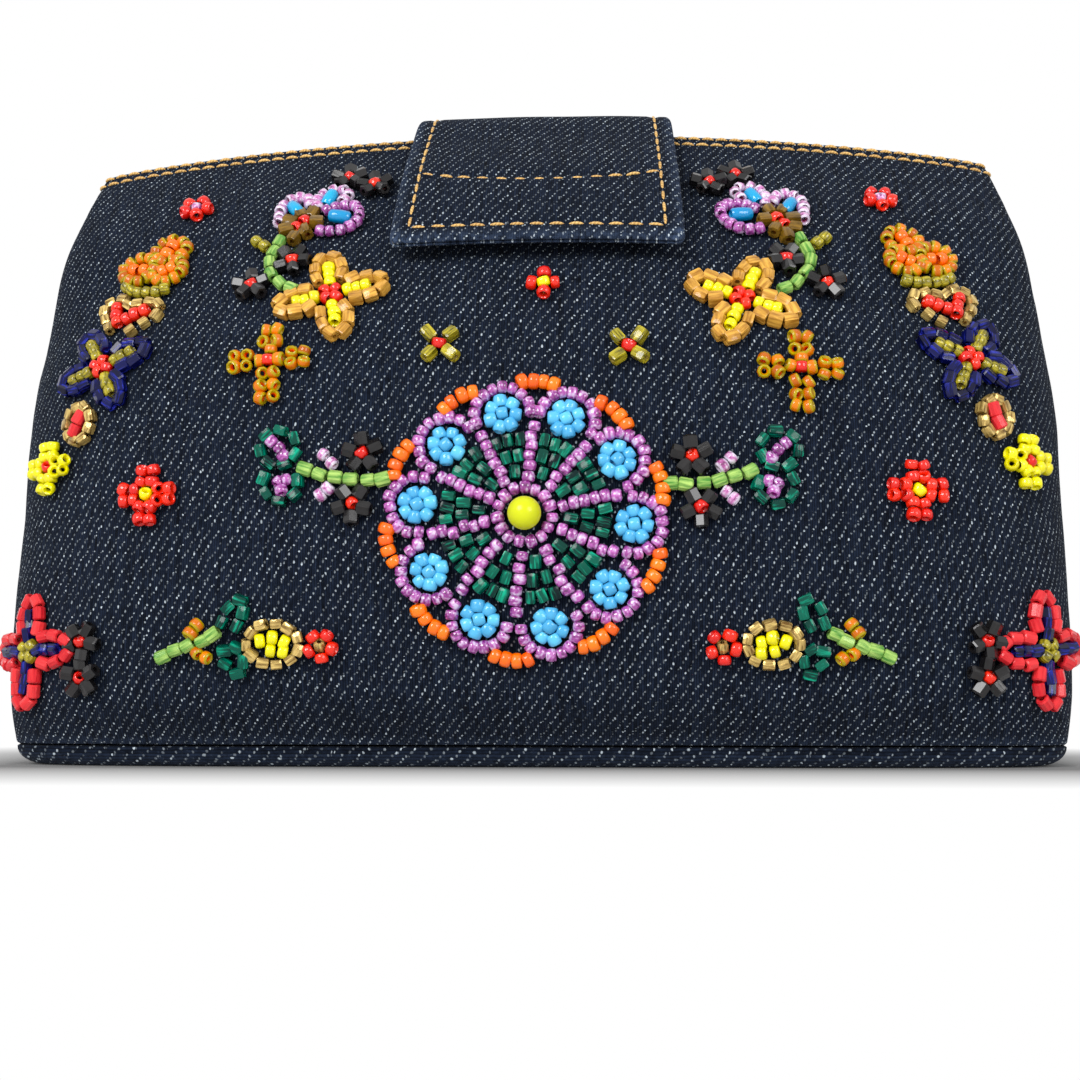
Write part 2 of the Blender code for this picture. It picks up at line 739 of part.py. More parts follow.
def make_wheel(finish, collection):
    """The round flower's spokes, hub and petal edges in one body, lower between the spokes."""
    opening = CENTRE_BEAD / 2 + 2 * GAP
    well = PETAL_ORBIT - FLOWER_RADIUS - 2 * GAP
    steps = PETAL_STEPS * PETALS

    def section(rim, on_spoke):
        tubes = BEAD if on_spoke else TUBE
        floor = BEAD if on_spoke else WELL_FLOOR
        return (
            (opening, 0),
            (opening, BEAD),
            (opening + BEAD, BEAD),
            (opening + BEAD + GAP, tubes),
            (well - GAP, tubes),
            (well, floor),
            (rim - BEAD, floor),
            (rim - BEAD / 2, BEAD),
            (rim, BEAD / 2),
            (rim - GAP, 0),
            ((opening + rim) / 2, 0),
        )

    rows = len(section(PETAL_ORBIT, False))

    def place(column, row):
        turn = petal_turn(0) + 2 * math.pi * (column % steps) / steps
        on_spoke = column % PETAL_STEPS == PETAL_STEPS // 2
        rim = wheel_rim(turn)
        radius, lift = section(rim, on_spoke)[row % rows]
        drop = MANDALA_SAG * (radius - opening) / (rim - opening)
        return on_front(radius * math.cos(turn), MANDALA_UP + radius * math.sin(turn) - drop, lift)

    shape = grid_surface(steps, rows, place)
    bmesh.ops.remove_doubles(shape, verts=shape.verts, dist=GAP / 10)
    bmesh.ops.recalc_face_normals(shape, faces=shape.faces)
    object_from_bmesh("beads_wheel", shape, finish, collection)


def make_rosette(name, across, up, reach, segments, finish, collection, low=0.0):
    """A low lobed boss on the front: reach(turn) is its radius in that direction."""
    shape = bmesh.new()
    sizes = {"radius1": 1, "radius2": 0.75, "depth": 1}
    bmesh.ops.create_cone(shape, cap_ends=True, cap_tris=True, segments=segments, **sizes)
    for vert in shape.verts:
        radius = reach(math.atan2(vert.co.y, vert.co.x))
        lift = low + (BEAD - low) * (vert.co.z + 0.5)
        vert.co = on_front(across + radius * vert.co.x, up + radius * vert.co.y, lift)
    object_from_bmesh(name, shape, finish, collection)


def lobes(count, inner, outer, first):
    """The radius round a flower of so many lobes, the first of them in that direction."""

    def reach(turn):
        return inner + (outer - inner) * (0.5 + 0.5 * math.cos(count * (turn - first)))

    return reach


def make_strand(name, points, stations, finish, collection):
    """Beads close together along a line of (across, up, half width), as one low bar on the front."""
    section = ((-1.0, 0.0), (-0.75, 1.0), (0.75, 1.0), (1.0, 0.0), (0.0, 0.0))
    line = [Vector(point) for point in points]

    def place(column, row):
        share = column / stations
        low, high = max(share - 0.01, 0.0), min(share + 0.01, 1.0)
        ahead = (through_points(line, high) - through_points(line, low)).xy.normalized()
        x, y, half = through_points(line, share)
        aside, lift = section[row % len(section)]
        x -= aside * half * ahead.y
        y += aside * half * ahead.x
        return on_front(x, y, lift * BEAD)

    shape = grid_surface(stations, len(section), place)
    bmesh.ops.remove_doubles(shape, verts=shape.verts, dist=GAP / 10)
    bmesh.ops.holes_fill(shape, edges=shape.edges)
    bmesh.ops.recalc_face_normals(shape, faces=shape.faces)
    object_from_bmesh(name, shape, finish, collection)


def make_round_flower(lilac, sky, orange, collection):
    """The wheel, a blue flower in each petal's well, and an orange arc over each notch."""
    make_wheel(lilac, collection)
    middle = MANDALA_UP - MANDALA_SAG
    half = BEAD / 2
    for number in range(PETALS):
        turn = petal_turn(number)
        across = PETAL_ORBIT * math.cos(turn)
        up = middle + PETAL_ORBIT * math.sin(turn)
        reach = lobes(7, 0.85 * FLOWER_RADIUS, FLOWER_RADIUS, turn)
        floor = WELL_FLOOR + GAP
        make_rosette(f"beads_petal_{number + 1}", across, up, reach, 14, sky, collection, floor)
        notch = petal_turn(number + 0.5)
        points = []
        for bend in spaced(-1.9 * BEAD / 2 / ARC_BEND, 1.9 * BEAD / 2 / ARC_BEND, 4):
            away = ARC_ORBIT - ARC_BEND
            x = away * math.cos(notch) + ARC_BEND * math.cos(notch + bend)
            y = away * math.sin(notch) + ARC_BEND * math.sin(notch + bend)
            points.append((x, middle + y, half))
        make_strand(f"beads_arc_{number + 1}", points, ARC_STATIONS, orange, collection)


def make_side_motifs(gold, amber, olive, red, green, navy, lilac, collection):
    """The motifs that repeat on both sides of the middle."""
    edge = ARC_ORBIT + BEAD / 2 + 2 * GAP
    for name, side in (("left", -1), ("right", 1)):
        upright = math.pi / 2 + side * math.radians(20)
        star = lobes(4, STAR_REACH / 3, STAR_REACH, upright)
        make_rosette(f"beads_star_{name}", side * STAR_ACROSS, STAR_UP, star, 24, gold, collection)
        cross = lobes(4, CROSS_REACH / 4, CROSS_REACH, math.pi / 2)
        make_rosette(f"beads_cross_{name}", side * CROSS_ACROSS, CROSS_UP, cross, 24, amber, collection)
        small = lobes(4, SMALL_REACH / 3, SMALL_REACH, math.pi / 4)
        make_rosette(f"beads_small_{name}", side * SMALL_ACROSS, SMALL_UP, small, 12, olive, collection)
        flower = lobes(4, SIDE_FLOWER_REACH / 2, SIDE_FLOWER_REACH, math.pi / 2)
        place = (side * SIDE_FLOWER_ACROSS, SIDE_FLOWER_UP)
        make_rosette(f"beads_flower_{name}", *place, flower, 16, red, collection)

        def line(across, up, length, *points):
            return [(side * (across + x * length), up + y * length, w * length) for x, y, w in points]

        sprig = line(
            edge, SPRIG_UP, SPRIG_LENGTH,
            (0, -0.055, 0.20), (0.14, -0.045, 0.30), (0.28, -0.02, 0.06), (0.4, 0, 0.22),
            (0.55, 0.02, 0.06), (0.75, 0.055, 0.28), (0.9, 0.08, 0.30), (1, 0.09, 0.11),
        )
        make_strand(f"beads_sprig_{name}", sprig, SPRIG_STATIONS, green, collection)
        lower = line(
            LOWER_SPRIG_ACROSS, LOWER_SPRIG_UP, LOWER_SPRIG_LENGTH,
            (0, 0, 0.043), (0.1, 0, 0.10), (0.2, 0, 0.043), (0.33, 0, 0.13),
            (0.46, 0.015, 0.07), (0.55, 0.03, 0.23), (0.7, 0.035, 0.07), (1, -0.07, 0.04),
        )
        make_strand(f"beads_lower_sprig_{name}", lower, SPRIG_STATIONS, olive, collection)
        spray = line(
            TOP_SPRAY_ACROSS, TOP_SPRAY_UP, TOP_SPRAY_LENGTH,
            (0, 0, 0.085), (0.19, -0.04, 0.10), (0.31, -0.27, 0.25), (0.5, -0.46, 0.13),
            (0.59, -0.65, 0.046), (0.6, -0.81, 0.12), (0.52, -1, 0.046),
        )
        make_strand(f"beads_top_spray_{name}", spray, SPRIG_STATIONS, lilac, collection)
        garland = line(
            GARLAND_ACROSS, GARLAND_UP, GARLAND_LENGTH,
            (0, 0, 0.032), (0.08, -0.09, 0.086), (0.16, -0.18, 0.082), (0.145, -0.295, 0.082), (0.19, -0.41, 0.068),
            (0.27, -0.57, 0.105), (0.286, -0.705, 0.114), (0.35, -0.82, 0.041), (0.386, -0.91, 0.059), (0.43, -1, 0.032),
        )
        make_strand(f"beads_garland_{name}", garland, GARLAND_STATIONS, navy, collection)


def make_centre_bead(finish, collection, helpers):
    height = height_up_front(MANDALA_UP)
    centre = off_skin(height, 0, -1, GAP + CENTRE_BEAD / 2)
    shape = bmesh.new()
    bmesh.ops.create_uvsphere(shape, u_segments=14, v_segments=9, radius=CENTRE_BEAD / 2)
    bead = object_from_bmesh("centre_bead", shape, finish, collection, 60)
    bead.matrix_world = Matrix.Translation(centre) @ Matrix.Rotation(math.pi / 2, 4, "Y")
    shape = bmesh.new()
    bmesh.ops.create_cone(
        shape,
        cap_ends=True,
        segments=8,
        radius1=BEAD_HOLE / 2,
        radius2=BEAD_HOLE / 2,
        depth=2 * CENTRE_BEAD,
    )
    hole = object_from_bmesh("bead_hole_cutter", shape, finish, helpers)
    hole.matrix_world = bead.matrix_world
    add_boolean(bead, hole, "DIFFERENCE")


def build():
    clear_scene()
    pouch = new_collection("zip_pouch")
    helpers = new_collection("cutters")
    helpers.hide_render = True
    denim = material("denim", DENIM_BLUE, 0.9)
    lining = material("lining", LINING_DARK, 0.85)
    tape = material("zip tape", TAPE_NAVY, 0.85)
    brass = material("brass", BRASS, 0.35, 1.0)
    steel = material("snap steel", STEEL, 0.3, 1.0)
    lime = material("lime bead", BEAD_LIME, 0.2)
    make_panels(denim, pouch)
    make_base_panel(denim, pouch)
    make_lining(lining, pouch)
    for name, side in (("front", -1), ("back", 1)):
        make_tape(f"zip_tape_{name}", side, tape, pouch)
        make_teeth(f"zip_teeth_{name}", side, brass, pouch)
    make_stops(brass, pouch)
    make_slider(brass, pouch, helpers)
    make_pull(brass, pouch, helpers)
    make_tab("tab_backing", 0.0, TAB_BACKING, GAP, denim, pouch)
    make_tab("tab_outer", TAB_BACKING + GAP, TAB_OUTER, 0.0, denim, pouch)
    make_snap(steel, pouch, helpers)
    make_centre_bead(lime, pouch, helpers)
    lilac = material("lilac beads", BEAD_LILAC, 0.2)
    sky = material("sky blue beads", BEAD_SKY, 0.2)
    orange = material("orange beads", BEAD_ORANGE, 0.2)
    red = material("red beads", BEAD_RED, 0.2)
    gold = material("gold beads", BEAD_GOLD, 0.2)
    amber = material("amber beads", BEAD_AMBER, 0.2)
    olive = material("olive beads", BEAD_OLIVE, 0.2)
    green = material("green beads", BEAD_GREEN, 0.2)
    navy = material("navy beads", BEAD_NAVY, 0.2)
    make_round_flower(lilac, sky, orange, pouch)
    make_side_motifs(gold, amber, olive, red, green, navy, lilac, pouch)
    top = lobes(4, RED_REACH / 2, RED_REACH, math.pi / 2)
    make_rosette("beads_red_flower", RED_ACROSS, RED_UP, top, 16, red, pouch)


build()
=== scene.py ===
import functools
import math
import random

import bmesh
import bpy
import numpy as np
from mathutils import Matrix, Vector, noise


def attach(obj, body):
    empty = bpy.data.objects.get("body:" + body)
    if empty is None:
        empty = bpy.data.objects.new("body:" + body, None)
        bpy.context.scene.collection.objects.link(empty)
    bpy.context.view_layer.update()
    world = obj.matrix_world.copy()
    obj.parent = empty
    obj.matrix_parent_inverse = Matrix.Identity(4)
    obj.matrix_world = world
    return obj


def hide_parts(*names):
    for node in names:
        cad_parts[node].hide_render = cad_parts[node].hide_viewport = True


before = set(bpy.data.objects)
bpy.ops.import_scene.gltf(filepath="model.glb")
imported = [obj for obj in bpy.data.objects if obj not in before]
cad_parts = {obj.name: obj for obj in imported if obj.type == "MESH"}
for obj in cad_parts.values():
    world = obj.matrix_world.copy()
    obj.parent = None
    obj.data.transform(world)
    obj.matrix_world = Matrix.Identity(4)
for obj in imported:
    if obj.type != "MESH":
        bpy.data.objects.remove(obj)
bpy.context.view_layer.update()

MM = 0.001

# Form of the pouch, as in the part's source
BASE_SEAM_HEIGHT = 3.0 * MM
BASE_WIDTH = 168.0 * MM
BASE_DEPTH = 42.0 * MM
BASE_EDGE_ROUND = 4.0 * MM
MOUTH_HEIGHT = 108.0 * MM
MOUTH_LEAN = 11.0 * MM
ARCH_RADIUS = 500.0 * MM
BELLY_HEIGHT = 38.0 * MM
ROOF_HEIGHT = 86.0 * MM
STATIONS = {
    "height": (BASE_SEAM_HEIGHT, 12.0 * MM, BELLY_HEIGHT, 64.0 * MM, ROOF_HEIGHT, MOUTH_HEIGHT),
    "width": (BASE_WIDTH, 170.5 * MM, 172.0 * MM, 171.0 * MM, 167.0 * MM, 154.0 * MM),
    "depth": (BASE_DEPTH, 57.4 * MM, 68.6 * MM, 66.6 * MM, 46.6 * MM, 11.2 * MM),
    "squareness": (5.0, 3.9, 2.8, 2.8, 3.4, 8.0),
}
SECTION_SAMPLES = 90

DENIM = 1.2 * MM
PLY = 0.5 * MM
GAP = 0.3 * MM
HEM_DEPTH = 9.0 * MM
SEAM_TUCK = 0.9 * MM
LINING_TOP = 97.0 * MM
LINING_DEPTH = 2.6 * MM
LINING_CREASE = 0.25 * MM
SWELL = 0.30 * MM
FINE_SWELL = 0.08 * MM
SWELL_FADE = 8.0 * MM
SEAM_RUBBED = 2.2 * MM

ZIP_RECESS = 4.0 * MM
TAPE = 0.5 * MM
TAPE_LENGTH = 142.0 * MM
TAPE_INNER_EDGE = 3.05 * MM
TAPE_SHELF = 5.4 * MM
TAPE_LEG_TOP = 102.3 * MM
TAPE_LEG_BOTTOM = 97.6 * MM
TEETH_COUNT = 50
TEETH_PITCH = 2.4 * MM
TEETH_PARTING = 1.3 * MM
TOOTH_WIDTH = 1.2 * MM
TOOTH_HEIGHT = 1.6 * MM
TOOTH_LENGTH = 1.3 * MM
TEETH_CORD = 0.8 * MM
CORD_RADIUS = 0.45 * MM
CORD_BEHIND_TEETH = 0.75 * MM

TAB_TOP_WIDTH = 43.5 * MM
TAB_END_WIDTH = 46.5 * MM
TAB_SHIFT = 1.1 * MM
TAB_THICKNESS = 2.1 * MM
TAB_END_HEIGHT = 79.5 * MM
TAB_BACK_HEIGHT = 84.0 * MM
TAB_CLEARANCE = 2.9 * MM
TAB_TOP_CLEARANCE = 1.3 * MM
TAB_RISE = 1.3 * MM
TAB_CORNER = 1.6 * MM
TAB_FINE_END = 1.4 * MM
TAB_SWELL = 0.10 * MM
TAB_RAGGED = 0.18 * MM
TAB_RUBBED_RIM = 2.0 * MM
TAB_RUBBED_CORNER = 3.2 * MM

# Cloth and sewing
ENDS_PER_MM = 2.67
PICKS_PER_MM = 1.64
STITCH_WIDTH = 0.52 * MM
STITCH_SUNK = 0.06 * MM
STITCH_DIP = 0.28 * MM
STITCH_DIP_WIDTH = 0.55 * MM
EDGE_TO_STITCH = 3.0 * MM
SEAM_TO_STITCH = 4.0 * MM
MOUTH_ROWS = ((0.9 * MM, 2.35 * MM), (2.9 * MM, 2.45 * MM))  # below the rim, and the stitches' pitch
TAB_STITCH_PITCH = 3.0 * MM
TAB_BOX = 13.0 * MM
TAB_BOX_BOW = 2.8 * MM

CENTRE_BEAD = 5.0 * MM

# Beadwork, in mm and degrees
MANDALA = (-0.1, 37.4)
UNEVEN = 0.12
UNEVEN_TURN = 11
UNEVEN_TIP = 9

# Stage and light
# How far from the pouch's foot the floor's glow is dimmed into a painted shadow
FOOT_SHADOW = 45.0 * MM
WORLD_LIGHT = 0.45


# Shape of the pouch


def at_height(kind, height):
    """A smooth curve through the stations' values, read at one height."""
    heights = STATIONS["height"]
    values = STATIONS[kind]
    last = len(heights) - 2
    i = min(max(sum(height >= h for h in heights) - 1, 0), last)

    def slope(k):
        low, high = max(k - 1, 0), min(k + 1, last + 1)
        return (values[high] - values[low]) / (heights[high] - heights[low])

    span = heights[i + 1] - heights[i]
    t = (height - heights[i]) / span
    return (
        (2 * t**3 - 3 * t**2 + 1) * values[i]
        + (t**3 - 2 * t**2 + t) * span * slope(i)
        + (3 * t**2 - 2 * t**3) * values[i + 1]
        + (t**3 - t**2) * span * slope(i + 1)
    )


def centre_at(height):
    """The middle plane leans back a little towards the mouth."""
    return MOUTH_LEAN * (height - BASE_SEAM_HEIGHT) / (MOUTH_HEIGHT - BASE_SEAM_HEIGHT)


def arch_drop(x):
    return ARCH_RADIUS - math.sqrt(ARCH_RADIUS**2 - x**2)


def arch_share(height):
    t = min(max((height - BELLY_HEIGHT) / (ROOF_HEIGHT - BELLY_HEIGHT), 0.0), 1.0)
    return t * t * (3 - 2 * t)


@functools.lru_cache(maxsize=20000)
def half_section(height):
    """Points from the middle of the front to the side seam, and the length along them."""
    reach = np.sin(np.linspace(0, math.pi / 2, SECTION_SAMPLES))
    power = at_height("squareness", height)
    x = at_height("width", height) / 2 * reach
    y = at_height("depth", height) / 2 * (1 - reach**power) ** (1 / power)
    along = np.concatenate([[0], np.cumsum(np.hypot(np.diff(x), np.diff(y)))])
    return x, y, along


def girth(height):
    """The length of cloth from the middle line to the side seam at one height."""
    return float(half_section(height)[2][-1])


def skin_point(height, across, side):
    """A point on the outer skin: across is the distance from the middle line along the cloth."""
    xs, ys, along = half_section(height)
    x = math.copysign(float(np.interp(abs(across), along, xs)), across)
    y = float(np.interp(abs(across), along, ys))
    return Vector((x, centre_at(height) + side * y, height - arch_drop(x) * arch_share(height)))


def skin_frame(height, across, side):
    """Directions on the skin: to the right along the cloth, up along it, and outward."""
    step = 0.4 * MM
    low = min(height, MOUTH_HEIGHT - step)
    reach = girth(low) - step
    left = min(max(across, -reach), reach)
    up = skin_point(low + step, left, side) - skin_point(max(low - step, BASE_SEAM_HEIGHT), left, side)
    over = skin_point(low, left + step, side) - skin_point(low, left - step, side)
    normal = over.cross(up).normalized()
    return over.normalized(), up.normalized(), normal if side < 0 else -normal


def off_skin(height, across, side, distance):
    return skin_point(height, across, side) + distance * skin_frame(height, across, side)[2]


def spaced(low, high, count):
    return [low + (high - low) * i / (count - 1) for i in range(count)]


def middle_line(side):
    """Heights up the middle of one face and the length of cloth up to each."""
    heights = spaced(BASE_SEAM_HEIGHT, MOUTH_HEIGHT, 240)
    line = [skin_point(h, 0, side) for h in heights]
    along = np.concatenate([[0], np.cumsum([(b - a).length for a, b in zip(line, line[1:])])])
    return heights, along


FRONT_LINE = middle_line(-1)
FRONT_LENGTH = float(FRONT_LINE[1][-1])


def height_up_front(up):
    return float(np.interp(up, FRONT_LINE[1], FRONT_LINE[0]))


def up_at_height(height):
    return float(np.interp(height, FRONT_LINE[0], FRONT_LINE[1]))


def humps(a, b, wide, high, seed):
    """Smooth unevenness of a cloth from -1 to 1, in humps of about wide by high millimetres."""
    return noise.noise(Vector((a / (wide * MM), b / (high * MM), seed)))


def swell(across, up, seed):
    """The soft unevenness of filled cloth, in metres out of the skin."""
    return SWELL * humps(across, up, 21, 17, seed) + FINE_SWELL * humps(across, up, 7, 6, seed + 9.0)


# Materials


class Value:
    """A number or colour in a tree of nodes. Arithmetic on it adds the nodes that work it out."""

    def __init__(self, nodes, socket):
        self.nodes, self.socket = nodes, socket

    def __add__(self, other):
        return self.nodes.math("ADD", self, other)

    def __mul__(self, other):
        return self.nodes.math("MULTIPLY", self, other)

    def __sub__(self, other):
        return self.nodes.math("SUBTRACT", self, other)

    def __rsub__(self, other):
        return self.nodes.math("SUBTRACT", other, self)

    def __pow__(self, other):
        return self.nodes.math("POWER", self, other)

    def __abs__(self):
        return self.nodes.math("ABSOLUTE", self)

    __radd__, __rmul__ = __add__, __mul__


class Nodes:
    """A tree whose nodes are added one call at a time."""

    def __init__(self, tree):
        self.tree = tree

    def put(self, socket, value):
        if isinstance(value, Value):
            self.tree.links.new(value.socket, socket)
        else:
            socket.default_value = value

    def node(self, kind, settings, inputs, output=0):
        made = self.tree.nodes.new(kind)
        for name, value in settings.items():
            setattr(made, name, value)
        for name, value in inputs.items():
            self.put(made.inputs[name], value)
        return Value(self, made.outputs[output])

    def math(self, operation, *values):
        return self.node("ShaderNodeMath", {"operation": operation}, dict(enumerate(values)))

    def mix(self, share, a, b, blend="MIX"):
        settings = {"data_type": "RGBA", "blend_type": blend}
        return self.node("ShaderNodeMix", settings, {0: share, 6: a, 7: b}, 2)

    def ramp(self, value, low, high, to_low=0.0, to_high=1.0):
        inputs = {"Value": value, "From Min": low, "From Max": high, "To Min": to_low, "To Max": to_high}
        return self.node("ShaderNodeMapRange", {}, inputs)

    def noise(self, vector, scale, detail=2.0, roughness=0.5):
        inputs = {"Vector": vector, "Scale": scale, "Detail": detail, "Roughness": roughness}
        return self.node("ShaderNodeTexNoise", {}, inputs)

    def vector(self, x, y, z=0.0):
        return self.node("ShaderNodeCombineXYZ", {}, {0: x, 1: y, 2: z})

    def chance(self, x, y):
        """A random number for each whole place (x, y)."""
        place = {"Vector": self.vector(x, y)}
        return self.node("ShaderNodeTexWhiteNoise", {"noise_dimensions": "2D"}, place)

    def split(self, vector):
        """The first two coordinates of a vector."""
        outputs = self.node("ShaderNodeSeparateXYZ", {}, {0: vector}).socket.node.outputs
        return Value(self, outputs[0]), Value(self, outputs[1])


class Finish(Nodes):
    """A material, with calls for what it reads from its piece and sets on its shader."""

    def __init__(self, name):
        self.material = bpy.data.materials.new(name)
        self.material.use_nodes = True
        super().__init__(self.material.node_tree)
        self.shader = self.tree.nodes["Principled BSDF"]

    def weave(self):
        """Where a place is across and along its own cloth, thread or bead."""
        return self.split(self.node("ShaderNodeUVMap", {"uv_map": "weave"}, {}))

    def attribute(self, name):
        return self.node("ShaderNodeAttribute", {"attribute_name": name}, {}, 2)

    def bump(self, height, distance, strength=1.0):
        inputs = {"Height": height, "Distance": distance, "Strength": strength}
        self.put(self.shader.inputs["Normal"], self.node("ShaderNodeBump", {}, inputs))

    def set(self, **values):
        for name, value in values.items():
            self.put(self.shader.inputs[name.replace("_", " ").title().replace("Ior", "IOR")], value)


def rgb(red, green, blue, dimmed=1.0):
    """A colour written in 0 to 255 as it shows, made linear and then dimmed."""
    parts = [v / 255 for v in (red, green, blue)]
    linear = [p / 12.92 if p <= 0.04045 else ((p + 0.055) / 1.055) ** 2.4 for p in parts]
    return (*[dimmed * p for p in linear], 1.0)


def denim_finish(name):
    """A 3/1 right-hand twill: dark warp ends with the pale weft showing once in four picks."""
    f = Finish(name)
    u, v = f.weave()

    # Which end and pick a place is on; neither set of threads runs quite straight
    sway = f.noise(f.vector(0.35 * u, 0.12 * v), 1.0)
    drift = f.noise(f.vector(0.10 * u, 0.5 * v, 4.0), 1.0)
    fine = f.noise(f.vector(1.3 * u, 0.5 * v, 8.0), 1.0)
    warp = 1.1 * sway + ENDS_PER_MM * u
    pick = 1.1 * fine + (1.3 * drift + PICKS_PER_MM * v)
    end_no, pick_no = f.math("FLOOR", warp), f.math("FLOOR", pick)
    end_side = f.math("FRACT", warp) - 0.5
    round_end = 4.0 * (end_side * end_side)
    ahead = pick - end_no
    float_no = f.math("FLOOR", 0.25 * ahead)

    # The weft's flecks: each a little out of place and of its own brightness
    off_pick = f.math("FLOORED_MODULO", ahead, 4.0) - (0.9 * f.chance(pick_no, end_no) + 0.05)
    off_end = end_side + (0.5 * f.chance(end_no, float_no) - 0.25)
    shows = f.ramp(5.0 * (off_end * off_end) + 6.5 * (off_pick * off_pick), 1.1, 0.2)
    luck = f.chance(end_no, pick_no) ** 3.2
    patchy = f.ramp(f.noise(f.vector(0.22 * u, 0.22 * v, 2.0), 1.0, 3.0), 0.3, 0.7, 0.09, 0.27)
    wear = f.attribute("wear")
    white = shows * (0.76 * luck + patchy + 0.35 * wear)

    # The warp: every end and every float has its own depth of blue, and the grooves between ends are
    # darkened as painted shade
    streak = f.ramp(f.noise(f.vector(end_no, 0.9 * v, 7.0), 0.73, 2.0), 0.3, 0.7)
    tone = 0.4 * streak + (0.3 * f.chance(end_no, 3.0) + 0.35 * f.chance(float_no, end_no))
    hair = f.ramp(f.noise(f.vector(9.0 * u, 1.4 * v, 5.0), 1.0, 3.0, 0.7), 0.35, 0.7, 0.55, 1.25)
    # painted shade: darker in the grooves between warp ends, its strength varied by random noise
    groove_shade_and_tone = f.ramp(round_end, 1.0, 0.0, 0.4, 1.0) * hair
    shade = f.node("ShaderNodeCombineColor", {}, {0: groove_shade_and_tone, 1: groove_shade_and_tone, 2: groove_shade_and_tone})
    indigo = f.mix(1.0, f.mix(tone, rgb(4, 7, 15), rgb(31, 41, 60)), shade, "MULTIPLY")

    # Rubbed places are paler, and lint lies over everything
    rubbed = wear * f.ramp(f.noise(f.vector(u, v, 3.0), 1.1, 4.0, 0.7), 0.35, 0.62)
    worn = f.mix(0.8 * rubbed, indigo, rgb(70, 86, 114))
    cloth = f.mix(white, worn, rgb(186, 198, 206))
    lint = f.noise(f.vector(2.3 * u, 1.1 * v, 11.0), 1.0, 5.0, 0.8)
    fluff = f.ramp(lint, 0.60, 0.80) * (0.9 * wear + 0.13)
    f.set(base_color=f.mix(fluff, cloth, rgb(170, 184, 196)), roughness=0.9)
    f.set(specular_ior_level=0.06, sheen_weight=0.015, sheen_roughness=0.5)
    f.bump((1.0 - round_end - 0.75 * shows) + 0.5 * lint, 0.12 * MM, 0.8)
    return f.material


def plain_cloth_finish(name, colour, rib=1.6):
    """A close plain weave, for the lining and the zip tapes. rib is its threads to the mm."""
    f = Finish(name)
    u, v = f.weave()
    weave = f.math("SINE", (rib * 2 * math.pi) * u) * f.math("SINE", (rib * 2 * math.pi) * v)
    shade = 0.25 * weave + f.noise(f.vector(u, v), 0.35, 4.0)
    f.set(base_color=f.mix(shade, rgb(*colour, 0.6), rgb(*colour)), roughness=0.85)
    f.bump(weave, 0.06 * MM, 0.7)
    return f.material


def thread_finish(name, colour, shade):
    """Twisted sewing thread, shaded along its turns."""
    f = Finish(name)
    u, v = f.weave()
    wave = f.ramp(f.math("SINE", 2 * math.pi * (u + v)), -1.0, 1.0)
    f.set(base_color=f.mix(0.6 * wave + 0.3 * f.attribute("tone"), rgb(*shade), rgb(*colour)))
    f.set(roughness=0.55, sheen_weight=0.2)
    f.bump(wave, 0.05 * MM, 0.8)
    return f.material


def metal_finish(name, colour, roughness):
    f = Finish(name)
    wiped = f.noise(f.node("ShaderNodeTexCoord", {}, {}, 3), 900.0, 4.0)
    f.set(base_color=f.mix(wiped, rgb(*colour, 0.7), rgb(*colour)), metallic=1.0)
    f.set(roughness=f.ramp(wiped, 0.3, 0.7, roughness * 0.7, roughness * 1.5))
    return f.material


def bead_finish(
    name, colour, depth, roughness=0.1, clear=0.0, metallic=0.0, coat=0.0, shine=0.24,
    streaks=0.0, glint=(0.36, 0.64), ends=None, flash=None,
):
    """Bead glass: colour and depth are its lighter and darker tones. streaks mixes in lines along a bead:
    partly the striations of satin and cut glass, partly painted highlight lines for its sheen and the bright
    edges of the glass, and glint how much of it stays dark. ends is the clear glass past a lining, and flash
    the silvery patches of painted highlight for a lustre, beside darker patches of painted shade."""
    f = Finish(name)
    u, v = f.weave()
    tone = f.attribute("tone")
    own = 50.0 * tone
    # lines along the bead: the glass's striations, and partly painted highlight lines for its sheen
    striation_and_sheen_lines = f.noise(f.vector(15.0 * u, 0.4 * v, own), 1.0, 3.0)
    blend = (1.0 - streaks) * tone + streaks * f.ramp(striation_and_sheen_lines, *glint)
    glass = f.mix(blend, rgb(*depth), rgb(*colour))
    if ends:
        past = abs(v) + 0.5 * f.noise(f.vector(5.0 * u, v, own), 1.0, 2.0)
        glass = f.mix(f.ramp(past, 0.62, 1.02), glass, rgb(*ends))
    if flash:
        # painted highlight: silvery patches for the lustre's shine, and beside them darker patches as
        # painted shade
        patch = f.noise(f.vector(7.0 * u, 1.3 * v, own), 1.0, 1.0)
        glass = f.mix(f.ramp(patch, 0.48, 0.70), glass, rgb(*flash))
        glass = f.mix(0.8 * f.ramp(patch, 0.44, 0.30), glass, rgb(*[c * 0.55 for c in depth]))
    f.set(base_color=glass, metallic=metallic, roughness=roughness, transmission_weight=clear)
    f.set(ior=1.52, specular_ior_level=shine, coat_weight=coat, coat_roughness=0.06)
    if streaks:
        f.bump(striation_and_sheen_lines, 0.05 * MM, streaks)
    return f.material


# Pieces of cloth


def as_mesh(shape, name):
    """The finished mesh of a bmesh, which is freed."""
    mesh = bpy.data.meshes.new(name)
    shape.to_mesh(mesh)
    shape.free()
    return mesh


def add_object(name, data):
    obj = bpy.data.objects.new(name, data)
    bpy.context.scene.collection.objects.link(obj)
    return obj


def add_piece(name, mesh, finishes, replaces=()):
    obj = add_object(name, mesh)
    for finish in finishes:
        mesh.materials.append(finish)
    if replaces:
        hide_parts(*replaces)
    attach(obj, "pouch")
    return obj


